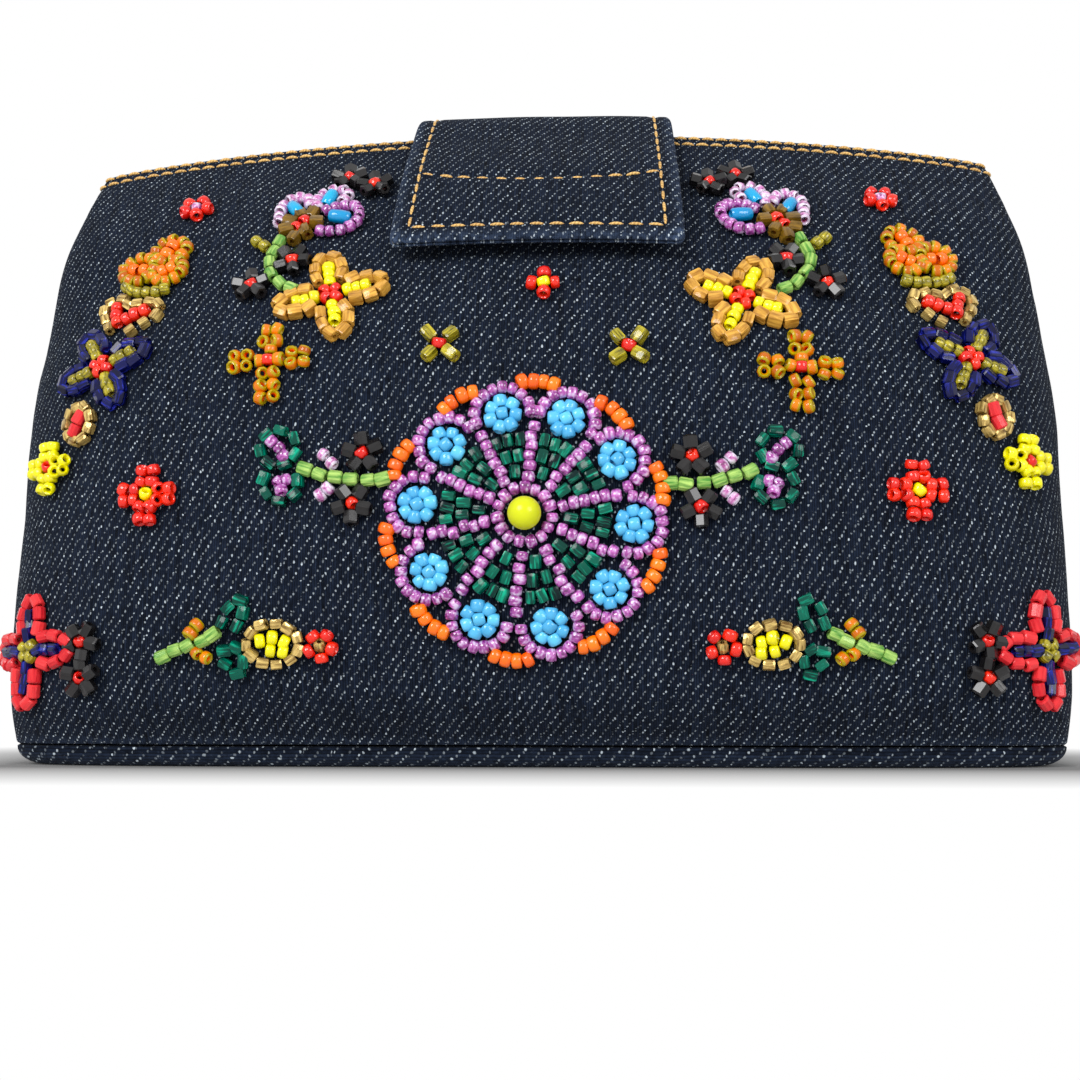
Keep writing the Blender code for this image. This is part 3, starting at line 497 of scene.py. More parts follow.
def cloth_mesh(name, columns, rows, place, flipped=False):
    """A grid moved to place(column, row), which also gives its weave coordinates in mm and its wear."""
    shape = bmesh.new()
    bmesh.ops.create_grid(shape, x_segments=columns, y_segments=rows, size=1)
    weave = shape.loops.layers.uv.new("weave")
    wear = shape.verts.layers.float.new("wear")
    laid = {}
    for vert in shape.verts:
        column = round((vert.co.x + 1) / 2 * columns)
        row = round((vert.co.y + 1) / 2 * rows)
        vert.co, laid[vert], vert[wear] = place(column, row)
    for face in shape.faces:
        for loop in face.loops:
            loop[weave].uv = laid[loop.vert]
    if flipped:
        bmesh.ops.reverse_faces(shape, faces=shape.faces)
    mesh = as_mesh(shape, name)
    mesh.shade_smooth()
    return mesh


def weld(mesh, fill_bottom=False):
    """Joins a wrapped grid where its edges meet, and turns its faces outward."""
    shape = bmesh.new()
    shape.from_mesh(mesh)
    bmesh.ops.remove_doubles(shape, verts=shape.verts, dist=0.02 * MM)
    if fill_bottom:
        rim = [e for e in shape.edges if e.is_boundary and e.verts[0].co.z < LINING_TOP / 2]
        bmesh.ops.edgeloop_fill(shape, edges=rim)
    bmesh.ops.recalc_face_normals(shape, faces=shape.faces)
    lowest = min(shape.faces, key=lambda face: face.calc_center_median().z)
    if lowest.normal.z > 0:
        bmesh.ops.reverse_faces(shape, faces=shape.faces)
    shape.to_mesh(mesh)
    shape.free()


def add_thickness(obj, thickness, side=-1.0):
    modifier = obj.modifiers.new("thickness", "SOLIDIFY")
    modifier.thickness = thickness
    modifier.offset = side
    modifier.use_quality_normals = True


def tuck(distance):
    """How far a sewn edge turns inward at this distance from its seam."""
    share = min(max(1 - distance / SEAM_TUCK, 0.0), 1.0)
    return SEAM_TUCK * (1 - math.sqrt(1 - share * share))


def edge_spaced(low, high, count, fine, steps):
    """Evenly spaced values with a few closer ones at both ends."""
    near = [fine * (i / steps) ** 1.5 for i in range(steps)]
    middle = spaced(low + fine, high - fine, count)
    return [low + n for n in near] + middle + [high - n for n in reversed(near)]


def make_panel(name, side, finish, replaced):
    """The front or back: tucked in at its seams, hemmed at the mouth with the hem turned down inside."""
    seam, rim = BASE_SEAM_HEIGHT + GAP / 2, MOUTH_HEIGHT - DENIM / 2
    heights = [seam + SEAM_TUCK * (i / 4) ** 1.5 for i in range(4)] + spaced(seam + SEAM_TUCK, rim, 104)
    rows = [(h, 0.0, 0.0) for h in heights]
    rows += [(rim, turn, 0.0) for turn in spaced(0, math.pi, 8)[1:]]
    rows += [(rim, math.pi, down) for down in spaced(0, HEM_DEPTH, 8)[1:]]
    shares = edge_spaced(-1.0, 1.0, 150, 0.011, 4)

    def place(column, row):
        height, turn, down = rows[row]
        reach = girth(height) - GAP / 2
        across = reach * shares[column]
        up = up_at_height(height)
        inward = tuck(reach - abs(across)) + tuck(up - up_at_height(seam))
        fade = min(up, FRONT_LENGTH - up, reach - abs(across)) / SWELL_FADE
        out = swell(across, up, 3.0 * side) * min(max(fade, 0.0), 1.0) - inward
        radius = DENIM / 2
        point = off_skin(height - down, across, side, out - radius * (1 - math.cos(turn)))
        point.z += radius * math.sin(turn)
        laid = (across / MM, (up + turn * radius + down) / MM)
        seam_wear = 0.5 * max(1 - up / SEAM_RUBBED, 0.0)
        return point, laid, max(seam_wear, 0.8 if 0.3 < turn < 2.2 else 0.0)

    mesh = cloth_mesh(name, len(shares) - 1, len(rows) - 1, place, side > 0)
    panel = add_piece(name, mesh, [finish], replaces=replaced)
    width = 2 * max(girth(h) for h in heights)
    add_thickness(panel, PLY)


def go_round(column, around, height):
    """The side and the place across the cloth of one column of a grid wrapped round the pouch."""
    side = -1 if column < around / 2 or column == around else 1
    share = (column % (around // 2)) / (around / 2)
    return side, side * -girth(height) * (1 - 2 * share)


def make_base(finish):
    """The boxed bottom, a crosswise strip that turns up to the seam all round."""
    around, turns, inward = 260, 9, 14
    spine = 1 - BASE_DEPTH / BASE_WIDTH

    def place(column, row):
        side, across = go_round(column, around, BASE_SEAM_HEIGHT)
        edge = skin_point(BASE_SEAM_HEIGHT, across, side)
        turn = math.pi / 2 * min((row - 1) / (turns - 1), 1.0)
        inset = BASE_EDGE_ROUND * (1 - math.cos(turn)) if row else SEAM_TUCK / 2
        closing = max(row - turns, 0) / inward
        scale_x = (1 - 2 * inset / BASE_WIDTH) * (1 - closing) + spine * closing
        scale_y = (1 - 2 * inset / BASE_DEPTH) * (1 - closing)
        height = BASE_SEAM_HEIGHT * (1 - math.sin(turn)) if row else BASE_SEAM_HEIGHT + GAP
        point = Vector((edge.x * scale_x, edge.y * scale_y, height))
        run = BASE_SEAM_HEIGHT * turn / (math.pi / 2) + BASE_DEPTH / 2 * closing
        wear = 0.12 if 2 < row < 8 else 0.0
        return point, (-side * (BASE_DEPTH / 2 - run) / MM, point.x / MM), wear

    mesh = cloth_mesh("denim_base", around, turns + inward, place)
    weld(mesh)
    base = add_piece("denim_base", mesh, [finish], replaces=["base_panel"])
    add_thickness(base, PLY)


def make_lining(finish):
    """The inner sack, a little loose, hanging from the zip tapes."""
    around, rows = 120, 40
    heights = spaced(BASE_SEAM_HEIGHT + DENIM + 2 * GAP, LINING_TOP, rows + 1)

    def place(column, row):
        height = heights[row]
        side, across = go_round(column, around, height)
        normal = skin_frame(height, across, side)[2]
        if abs(abs(across) - girth(height)) < GAP:
            normal = Vector((math.copysign(1, across), 0, 0))
        crease = LINING_CREASE * humps(across, height, 9, 16, side)
        point = skin_point(height, across, side) - (LINING_DEPTH + crease) * normal
        return point, (across / MM, height / MM), 0.0

    mesh = cloth_mesh("lining_sack", around, rows, place)
    weld(mesh, fill_bottom=True)
    lining = add_piece("lining_sack", mesh, [finish], replaces=["lining"])
    round_about = 4 * girth(LINING_TOP / 2)
    add_thickness(lining, PLY)


# Zip


def zip_point(x, across):
    """A place on the zip's mid-plane: x along it and across from its middle line."""
    radius = ARCH_RADIUS - ZIP_RECESS
    turn = x / radius
    height = MOUTH_HEIGHT - ARCH_RADIUS + radius * math.cos(turn)
    return Vector((radius * math.sin(turn), MOUTH_LEAN + across, height))


def wall_inside(height, x, distance):
    """How far from the middle plane a sheet lies that is distance inside the skin."""
    step = 0.5 * MM
    slope = (at_height("depth", height - step) - at_height("depth", height)) / 2 / step
    power = at_height("squareness", height)
    reach = min((abs(x) + distance) / (at_height("width", height) / 2), 0.999)
    half = at_height("depth", height) / 2 * (1 - reach**power) ** (1 / power)
    return half - distance * math.hypot(1, slope)


def make_tapes(finish):
    """Each tape has a shelf beside the teeth and a leg sewn inside the denim, down to the lining."""
    inset = DENIM + GAP + TAPE / 2
    columns, rows = 142, 16
    for name, side in (("front", -1), ("back", 1)):

        def place(column, row, side=side):
            x = TAPE_LENGTH * (column / columns - 0.5)
            shelf = TAPE_SHELF - TAPE_INNER_EDGE
            leg = shelf + MOUTH_HEIGHT - ZIP_RECESS - TAPE_LEG_TOP
            run = (leg + TAPE_LEG_TOP - TAPE_LEG_BOTTOM) * row / rows
            if run <= shelf:
                point = zip_point(x, side * (TAPE_INNER_EDGE + run))
            else:
                down = max(TAPE_LEG_TOP - max(run - leg, 0.0), TAPE_LEG_BOTTOM)
                wall = Vector((x, centre_at(down) + side * wall_inside(down, x, inset), down - arch_drop(x)))
                bend = min((run - shelf) / (leg - shelf), 1.0)
                point = zip_point(x, side * TAPE_SHELF).lerp(wall, bend)
            return point, (x / MM, run / MM), 0.0

        mesh = cloth_mesh(f"tape_{name}", columns, rows, place, side > 0)
        strip = add_piece(f"tape_{name}", mesh, [finish], replaces=[f"zip_tape_{name}"])
        add_thickness(strip, TAPE, 0)


def tooth_shape():
    """A metal tooth clamped over the cord, narrower at its tip."""
    size = (TOOTH_WIDTH, TOOTH_LENGTH + TEETH_CORD, TOOTH_HEIGHT)
    shape = bmesh.new()
    bmesh.ops.create_cube(shape, size=1, matrix=Matrix.Diagonal((*size, 1)))
    bmesh.ops.bevel(
        shape, geom=shape.edges[:], offset=0.22 * MM, segments=1, profile=0.5, affect="EDGES", material=-1
    )
    tip = [vert for vert in shape.verts if vert.co.y < -0.4 * size[1]]
    bmesh.ops.scale(shape, vec=(0.62, 1, 0.7), verts=tip)
    shape.verts.layers.float.new("tone")
    return as_mesh(shape, "tooth")


def make_teeth(metal, cloth):
    """Two rows of teeth half a pitch apart, each on the cord along its tape's edge."""
    tooth = tooth_shape()
    reach = TEETH_PARTING / 2 + (TOOTH_LENGTH + TEETH_CORD) / 2
    for name, side in (("front", -1), ("back", 1)):
        placed = []
        for i in range(TEETH_COUNT):
            x = TEETH_PITCH * (i - TEETH_COUNT / 2 + (0.5 if side > 0 else 0)) + TOOTH_WIDTH / 2
            facing = Matrix.Rotation(0 if side > 0 else math.pi, 4, "Z")
            turned = Matrix.Rotation(x / (ARCH_RADIUS - ZIP_RECESS), 4, "Y") @ facing
            placed.append((tooth, Matrix.Translation(zip_point(x, side * reach)) @ turned, 0.5))
        gather(f"teeth_{name}", placed, [metal], [f"zip_teeth_{name}"])

        def place(column, row, side=side):
            x = TEETH_PITCH * TEETH_COUNT * (column / 100 - 0.5)
            turn = 2 * math.pi * row / 8
            point = zip_point(x, side * (reach + CORD_BEHIND_TEETH + CORD_RADIUS * math.cos(turn)))
            return point + Vector((0, 0, CORD_RADIUS * math.sin(turn))), (x / MM, row * 0.35), 0.0

        mesh = cloth_mesh(f"tape_cord_{name}", 100, 8, place, side < 0)
        add_piece(f"tape_cord_{name}", mesh, [cloth])


# Closing tab


def tab_line(raised):
    """Side view of the tab at this height above its underside, with the length along it."""
    front = [TAB_CLEARANCE] * 3 + [0.8 * TAB_CLEARANCE, TAB_TOP_CLEARANCE]
    back = GAP + raised
    points = [off_skin(h, 0, -1, raised + f) for h, f in zip(spaced(TAB_END_HEIGHT, MOUTH_HEIGHT, 5), front)]
    points.append(Vector((0, MOUTH_LEAN, MOUTH_HEIGHT + TAB_RISE + raised)))
    points += [off_skin(h, 0, 1, back) for h in spaced(MOUTH_HEIGHT - GAP, TAB_BACK_HEIGHT, 5)]
    fine = [through_points(points, s) for s in spaced(0, 0.99999, 200)]
    along = np.concatenate([[0], np.cumsum([(b - a).length for a, b in zip(fine, fine[1:])])])
    return fine, along


def through_points(points, share):
    """A smooth curve through the points, read at a share of its point count."""
    last = len(points) - 2
    i = min(int(share * (last + 1)), last)
    t = share * (last + 1) - i
    before, after = points[max(i - 1, 0)], points[min(i + 2, last + 1)]
    a, b = points[i], points[i + 1]
    return 0.5 * (
        2 * a
        + (b - before) * t
        + (2 * before - 5 * a + 4 * b - after) * t**2
        + (3 * a - before - 3 * b + after) * t**3
    )


TAB_MIDDLE = tab_line(TAB_THICKNESS / 2)
TAB_LENGTH = float(TAB_MIDDLE[1][-1])


def tab_half_width(run):
    share = run / TAB_LENGTH
    return (TAB_TOP_WIDTH + (TAB_END_WIDTH - TAB_TOP_WIDTH) * max(1 - 2 * share, 0)) / 2


def tab_place(x, run, lift):
    """A point of the tab and its outward direction: x from its middle, run along it from its front
    end, and lift off its middle plane."""
    points, along = TAB_MIDDLE
    k = min(max(int(np.searchsorted(along, run)) - 1, 0), len(points) - 2)
    t = (run - along[k]) / (along[k + 1] - along[k])
    point = points[k].lerp(points[k + 1], t)
    before, after = points[max(k - 2, 0)], points[min(k + 3, len(points) - 1)]
    out = Vector((1, 0, 0)).cross((after - before).normalized())
    at = TAB_SHIFT + x
    return Vector((at, point.y, point.z - arch_drop(at))) + lift * out, out


def tab_stitch_lines():
    """The sewn box: two sides, the end, and the row that closes it. Each is a list of (x, run)."""
    inset = EDGE_TO_STITCH
    left = [(-tab_half_width(r) + inset, r) for r in spaced(inset, TAB_LENGTH - 2 * MM, 60)]
    right = [(-x, r) for x, r in left]
    half = tab_half_width(inset) - inset
    end = [(x, inset) for x in spaced(-half, half, 20)]
    half = tab_half_width(inset + TAB_BOX) - inset
    bowed = [(x, inset + TAB_BOX + TAB_BOX_BOW * ((x / half) ** 2 - 0.5)) for x in spaced(-half, half, 20)]
    return left, right, end, bowed


def to_stitching(x, run):
    """How far a place on the tab is from the nearest row of stitches."""
    far = 10 * MM
    inside = tab_half_width(run) - EDGE_TO_STITCH - abs(x)
    side = abs(inside) if run >= EDGE_TO_STITCH else far
    rows = [abs(run - EDGE_TO_STITCH - up) if inside > 0 else far for up in (0.0, TAB_BOX)]
    return min(side, *rows)


def make_tab(finish):
    """Two layers turned through at their edges: each is a half of a flat pillow with a rounded rim."""
    radius = TAB_THICKNESS / 2
    shares = edge_spaced(-1.0, 1.0, 56, 0.06, 7)
    runs = [TAB_FINE_END * (i / 7) ** 1.6 for i in range(7)] + spaced(TAB_FINE_END, TAB_LENGTH, 90)
    for name, level, replaced in (("tab_face", 1, "tab_outer"), ("tab_facing", -1, "tab_backing")):

        def place(column, row, level=level):
            run = runs[row]
            half = tab_half_width(run)
            cut = max(TAB_CORNER - run, 0.0)
            half -= TAB_CORNER - math.sqrt(max(TAB_CORNER**2 - cut**2, 0.0))
            ragged = TAB_RAGGED * noise.noise(Vector((run / (2.1 * MM), shares[column] * 2, 5.0)))
            x = (half + ragged) * shares[column]
            rim = min(half - abs(x), run + 0.02 * MM)
            over = min(max(rim / radius, 0.0), 1.0)
            lift = radius * math.sqrt(1 - (1 - over) ** 2)
            lift -= STITCH_DIP * math.exp(-((to_stitching(x, run) / STITCH_DIP_WIDTH) ** 2)) * over
            lift += TAB_SWELL * humps(x, run, 9, 7, 1.0) * over
            point = tab_place(x, run, level * lift)[0]

            # The weave runs on round the rim, which is rubbed, most of all at its corners
            rolled = max(radius * (math.pi / 2 - math.acos(1 - over)) - max(radius - rim, 0.0), 0.0)
            at_side = half - abs(x) < run
            laid_x = x + math.copysign(rolled, x) if at_side else x
            laid_run = run if at_side else run - rolled
            laid = ((TAB_SHIFT + laid_x) / MM, (0.7 * FRONT_LENGTH + laid_run) / MM)
            wear = 0.6 * max(1 - rim / TAB_RUBBED_RIM, 0.0)
            hard = max(1 - math.hypot(half - abs(x), run) / TAB_RUBBED_CORNER, 0.0)
            return point, laid, min(wear + hard, 1.0)

        mesh = cloth_mesh(name, len(shares) - 1, len(runs) - 1, place, level < 0)
        layer = add_piece(name, mesh, [finish], replaces=[replaced])
        add_thickness(layer, PLY)


# Stitching


def wrap_weave(shape, scale):
    """A weave map that goes once round Z, and the tone that each copy gets from gather."""
    weave = shape.loops.layers.uv.new("weave")
    shape.verts.layers.float.new("tone")
    for face in shape.faces:
        for loop in face.loops:
            co = loop.vert.co
            loop[weave].uv = (math.atan2(co.y, co.x) / (2 * math.pi), co.z * scale)


def stitch_shape(length, width):
    """One stitch: a short piece of thread whose ends dive into the cloth."""
    shape = bmesh.new()
    bmesh.ops.create_uvsphere(shape, u_segments=8, v_segments=7, radius=1)
    wrap_weave(shape, 2.2)
    for vert in shape.verts:
        x, y, z = vert.co
        full = (1 - abs(z) ** 3.0) ** 0.5 / max(math.sqrt(1 - z * z), 0.05) if abs(z) < 0.999 else 1.0
        dive = 0.55 * width * z * z
        vert.co = (width / 2 * x * full - dive, width / 2 * y * full, length / 2 * z)
    return as_mesh(shape, "stitch")


def gather(name, placed, finishes, replaces=()):
    """One piece from many copies: placed is a list of (mesh, matrix, tone)."""
    shape = bmesh.new()
    for mesh, matrix, tone in placed:
        known = len(shape.verts)
        shape.from_mesh(mesh)
        shape.verts.ensure_lookup_table()
        added = shape.verts[known:]
        bmesh.ops.transform(shape, matrix=matrix, verts=added)
        layer = shape.verts.layers.float["tone"]
        for vert in added:
            vert[layer] = tone
    made = as_mesh(shape, name)
    made.shade_smooth()
    return add_piece(name, made, finishes, replaces)


def frame_matrix(origin, out, along):
    """Turns a small shape so that its Z runs along and its X points out."""
    along = (along - along.dot(out) * out).normalized()
    over = along.cross(out)
    turned = Matrix((out, over, along)).transposed().to_4x4()
    return Matrix.Translation(origin) @ turned


def stitches_along(line, pitch, share, chances, seat):
    """Stitches of one row. seat(a, b) gives the middle of a stitch and its outward direction."""
    shape = stitch_shape(pitch * share, STITCH_WIDTH)
    lengths = [0.0]
    for (xa, ya), (xb, yb) in zip(line, line[1:]):
        lengths.append(lengths[-1] + math.hypot(xb - xa, yb - ya))

    def seated(at):
        return seat(*[float(np.interp(at, lengths, values)) for values in zip(*line)])

    count = max(round(lengths[-1] / pitch), 1)
    placed = []
    for i in range(count):
        at = (i + 0.5) * lengths[-1] / count
        origin, out = seated(at)
        along = seated(at + 0.3 * pitch)[0] - seated(at - 0.3 * pitch)[0]
        turned = Matrix.Rotation(math.radians(chances.uniform(-5, 2)), 3, out) @ along
        placed.append((shape, frame_matrix(origin, out, turned), chances.random()))
    return placed


def make_topstitching(finish):
    """Two rows along the mouth, front and back, and the box on the tab."""
    chances = random.Random(11)
    placed = []
    for side in (-1, 1):

        def seat(across, height, side=side):
            out = skin_frame(height, across, side)[2]
            return skin_point(height, across, side) + (STITCH_WIDTH / 2 - STITCH_SUNK) * out, out

        for down, pitch in MOUTH_ROWS:
            height = height_up_front(FRONT_LENGTH - down)
            reach = girth(height) - SEAM_TO_STITCH
            line = [(a, height) for a in spaced(-reach, reach, 80)]
            placed += stitches_along(line, pitch, 0.92, chances, seat)

    def seat_on_tab(x, run):
        return tab_place(x, run, TAB_THICKNESS / 2 - 2 * STITCH_SUNK)

    for line in tab_stitch_lines():
        placed += stitches_along(line, TAB_STITCH_PITCH, 0.86, chances, seat_on_tab)
    gather("topstitching", placed, [finish])


# Bead shapes


def spun_bead(name, profile, steps):
    """A bead turned about Z from a closed profile of (radius, height). Its hole has the second finish."""
    shape = bmesh.new()
    verts = [shape.verts.new((r, 0, z)) for r, z in profile]
    edges = [shape.edges.new((a, b)) for a, b in zip(verts, verts[1:] + verts[:1])]
    turn = {"angle": 2 * math.pi, "steps": steps, "use_merge": True}
    bmesh.ops.spin(shape, geom=verts + edges, cent=(0, 0, 0), axis=(0, 0, 1), **turn)
    bmesh.ops.remove_doubles(shape, verts=shape.verts, dist=0.001 * MM)
    bmesh.ops.recalc_face_normals(shape, faces=shape.faces)
    wrap_weave(shape, 1 / max(z for r, z in profile))
    hole = min(r for r, z in profile) * 1.05
    for face in shape.faces:
        face.material_index = 1 if all(v.co.xy.length < hole for v in face.verts) else 0
    return as_mesh(shape, name)


def seed_profile(diameter, length, hole):
    """The rounded section of a seed bead."""
    outer, inner, half = diameter / 2, hole / 2, length / 2
    lip, shoulder = 0.45 * outer + 0.55 * inner, 0.85 * outer + 0.15 * inner
    upper = [(inner, 0.5 * half), (lip, half), (shoulder, 0.84 * half), (outer, 0.32 * half)]
    return [(r, -z) for r, z in upper[:1]] + upper + [(r, -z) for r, z in upper[:0:-1]]


def tube_profile(diameter, length, hole):
    """The section of a short tube with narrow bevels."""
    outer, inner, half = diameter / 2, hole / 2, length / 2
    edge = 0.10 * diameter
    wall = [(outer - edge, half), (outer, half - edge), (outer, edge - half), (outer - edge, -half)]
    return [(inner, -half), (inner, half)] + wall


def squared(mesh, diameter):
    """Presses a tube of eight sides into a square one with narrow corners."""
    limit = diameter / 2 * 0.86
    for vert in mesh.vertices:
        if vert.co.xy.length > diameter * 0.3:
            vert.co.x = min(max(vert.co.x * 1.06, -limit), limit)
            vert.co.y = min(max(vert.co.y * 1.06, -limit), limit)
    return mesh


# Each form of bead: its section, its sides, and its widest place and its hole as shares of its size
FORMS = {
    "seed": (seed_profile, 9, 1.0, 0.38),
    "tube": (tube_profile, 10, 1.0, 0.45),
    "square": (tube_profile, 8, 1.1, 0.45),
    "cut": (tube_profile, 6, 1.06, 0.42),
}


def bead_shape(kind, form, diameter, length):
    section, sides, widest, hole = FORMS[form]
    mesh = spun_bead(kind, section(diameter * widest, length, diameter * hole), sides)
    return squared(mesh, diameter * widest) if form == "square" else mesh


def both(motif):
    return [f"beads_{motif}_left", f"beads_{motif}_right"]


def ten(motif):
    return [f"beads_{motif}_{number}" for number in range(1, 11)]


# Each kind of bead: its form, diameter and length in mm, its glass, the material that the part's
# source gives it, and the solids there that it stands in for
BEADS = {
    "lilac_seed": ("seed", 2.0, 1.5, "lilac lustre", "bead_lilac", ["beads_wheel"] + both("top_spray")),
    "sky_seed": ("seed", 2.15, 1.8, "sky blue", "bead_sky", ten("petal")),
    "orange_seed": ("seed", 2.45, 1.6, "orange", "bead_orange", ten("arc")),
    "yellow_seed": ("seed", 2.2, 1.5, "yellow", "lime_bead", ()),
    "red_seed": ("seed", 2.2, 1.5, "red", "bead_red", ["beads_red_flower"] + both("flower")),
    "amber_seed": ("seed", 2.2, 1.55, "amber", "bead_amber", both("cross")),
    "olive_seed": ("seed", 2.1, 1.5, "olive", "bead_olive", ()),
    "pink_seed": ("seed", 2.1, 1.5, "clear rose", "bead_lilac", ()),
    "teal_tube": ("square", 1.7, 2.0, "teal", "bead_green", ()),
    "green_tube": ("tube", 2.1, 2.2, "green satin", "bead_green", both("sprig")),
    "gold_tube": ("square", 2.1, 2.15, "gold satin", "bead_gold", both("star")),
    "black_tube": ("cut", 2.2, 2.1, "black", "bead_navy", ()),
    "navy_tube": ("cut", 2.0, 2.25, "navy", "bead_navy", both("garland")),
    "silver_gold_tube": ("square", 1.7, 1.75, "gold", "bead_olive", both("lower_sprig")),
    "olive_tube": ("square", 2.0, 2.3, "olive", "bead_olive", both("small")),
    "brown_tube": ("square", 2.1, 2.2, "brown", "bead_gold", ()),
    "red_tube": ("tube", 2.1, 2.2, "red satin", "bead_red", ()),
    "cyan_drop": ("seed", 2.3, 3.6, "cyan", "bead_sky", ()),
}


def bead_finishes():
    """The finish of each glass, and of the wall of its hole where that is lined."""
    made = {}

    def glass(name, colour, depth, roughness=0.1, **look):
        made[name] = [bead_finish(f"{name} glass", colour, depth, roughness, **look)] * 2

    def lined(name, lining, colour, depth, roughness=0.3, metallic=0.0):
        made[name][1] = bead_finish(f"{lining} lining", colour, depth, roughness, metallic=metallic)

    glass("lilac lustre", (186, 88, 178), (140, 40, 134), coat=0.6, shine=0.6, flash=(206, 184, 216))
    lined("lilac lustre", "magenta", (188, 24, 164), (150, 20, 134))
    glass("sky blue", (92, 192, 234), (66, 160, 210), 0.14, shine=0.5)
    glass("orange", (255, 124, 0), (240, 90, 0), 0.12, shine=0.5)
    glass("yellow", (244, 236, 0), (220, 208, 0), 0.12, shine=0.5)
    glass("red", (238, 40, 10), (206, 18, 10), shine=0.5)
    glass("amber", (232, 124, 0), (172, 84, 0), 0.08, shine=0.34, ends=(172, 150, 0))
    lined("amber", "orange", (255, 104, 4), (238, 80, 2), 0.4)
    glass("olive", (206, 190, 44), (76, 70, 6), 0.06, clear=0.2, streaks=0.85, shine=0.4)
    lined("olive", "dim brass", (206, 186, 100), (160, 140, 60), metallic=0.5)
    glass("brown", (158, 120, 34), (84, 60, 14), 0.08, clear=0.3, streaks=0.7)
    lined("brown", "bronze", (190, 150, 60), (150, 110, 40), metallic=0.7)
    rose = {"ends": (204, 190, 212), "flash": (226, 214, 230)}
    glass("clear rose", (206, 130, 190), (172, 84, 150), 0.06, coat=0.6, **rose)
    lined("clear rose", "pink", (206, 70, 140), (190, 50, 120), 0.4)
    glass("teal", (0, 168, 132), (0, 22, 26), streaks=0.75, shine=0.2, glint=(0.5, 0.74))
    lined("teal", "teal", (70, 160, 130), (20, 90, 70), 0.25, metallic=0.6)
    glass("green satin", (172, 206, 108), (66, 130, 48), 0.2, streaks=0.8)
    glass("gold satin", (228, 174, 74), (146, 94, 22), 0.18, streaks=0.75, shine=0.35)
    glass("black", (34, 32, 33), (9, 8, 9), 0.16, streaks=0.4, shine=0.42)
    glass("navy", (34, 46, 168), (2, 3, 34), streaks=0.85, glint=(0.52, 0.72))
    lined("navy", "blue", (70, 80, 220), (40, 46, 160))
    glass("gold", (240, 208, 124), (106, 72, 14), 0.08, clear=0.15, metallic=0.3, streaks=0.8, shine=0.4)
    lined("gold", "silver", (245, 232, 200), (220, 200, 160), 0.22, metallic=1.0)
    glass("red satin", (232, 60, 62), (190, 20, 34), 0.2, streaks=0.5)
    glass("cyan", (0, 172, 218), (0, 134, 192), shine=0.5)
    return made


# Sewing the beads on

sewn = {kind: [] for kind in BEADS}
bead_chances = random.Random(5)


def sew(kind, across, up, angle, lean=0.0, raised=0.0):
    """Lays one bead on the front: its place and angle on the cloth, in mm and degrees."""
    uneven = bead_chances.uniform
    across += uneven(-UNEVEN, UNEVEN)
    up += uneven(-UNEVEN, UNEVEN)
    height = height_up_front(up * MM)
    over, rise, out = skin_frame(height, across * MM, -1)
    turned = math.radians(angle + uneven(-UNEVEN_TURN, UNEVEN_TURN))
    along = math.cos(turned) * over + math.sin(turned) * rise
    tip = math.radians(lean + uneven(-UNEVEN_TIP, UNEVEN_TIP))
    along, out_now = math.cos(tip) * along + math.sin(tip) * out, math.cos(tip) * out - math.sin(tip) * along
    diameter, length = BEADS[kind][1:3]
    lift = (diameter / 2 * math.cos(tip) + length / 2 * abs(math.sin(tip)) + raised) * MM
    origin = skin_point(height, across * MM, -1) + lift * out
    roll = Matrix.Rotation(uneven(-0.3, 0.3), 4, "Z")
    size = Matrix.Scale(uneven(0.91, 1.06), 4)
    sewn[kind].append((frame_matrix(origin, out_now, along) @ roll @ size, bead_chances.random()))


def aside(way, along, off=0.0):
    """The place that lies along in the direction way, and off to its left."""
    a = math.radians(way)
    return along * math.cos(a) - off * math.sin(a), along * math.sin(a) + off * math.cos(a)


class Patch:
    """A place on the front where one motif is sewn, in mm, turned and mirrored as a whole."""

    def __init__(self, across, up, turn=0.0, flip=1):
        self.across, self.up, self.turn, self.flip = across, up, turn, flip

    def bead(self, kind, x, y, angle, lean=0.0, raised=0.0):
        dx, dy = aside(self.turn, x, y)
        way = angle + self.turn
        if self.flip < 0:
            dx, way = -dx, 180 - way
        sew(kind, self.flip * self.across + dx, self.up + dy, way, lean, raised)

    def polar(self, kind, radius, direction, angle=0.0, lean=0.0):
        """A bead at a radius and direction; angle 0 lays its hole along the radius."""
        self.bead(kind, *aside(direction, radius), direction + angle, lean)

    def ring(self, kind, radius, count, start=90.0, angle=0.0, lean=0.0):
        for i in range(count):
            self.polar(kind, radius, start + 360 * i / count, angle, lean)

    def arc(self, kind, centre, radius, low, high, count, lean=0.0):
        """Beads threaded along an arc about a centre of the patch."""
        for direction in spaced(low, high, count):
            x, y = aside(direction, radius)
            self.bead(kind, centre[0] + x, centre[1] + y, direction + 90, lean)

    def string(self, kind, points, lean=0.0, closed=False):
        """Beads at the given places, each turned along the thread that joins them."""
        for i, (x, y) in enumerate(points):
            if closed:
                (x1, y1), (x2, y2) = points[i - 1], points[(i + 1) % len(points)]
            else:
                (x1, y1), (x2, y2) = points[max(i - 1, 0)], points[min(i + 1, len(points) - 1)]
            self.bead(kind, x, y, math.degrees(math.atan2(y2 - y1, x2 - x1)), lean)


def oval(across, up, wide, high, count):
    turns = [2 * math.pi * i / count for i in range(count)]
    return [(across + wide * math.cos(t), up + high * math.sin(t)) for t in turns]


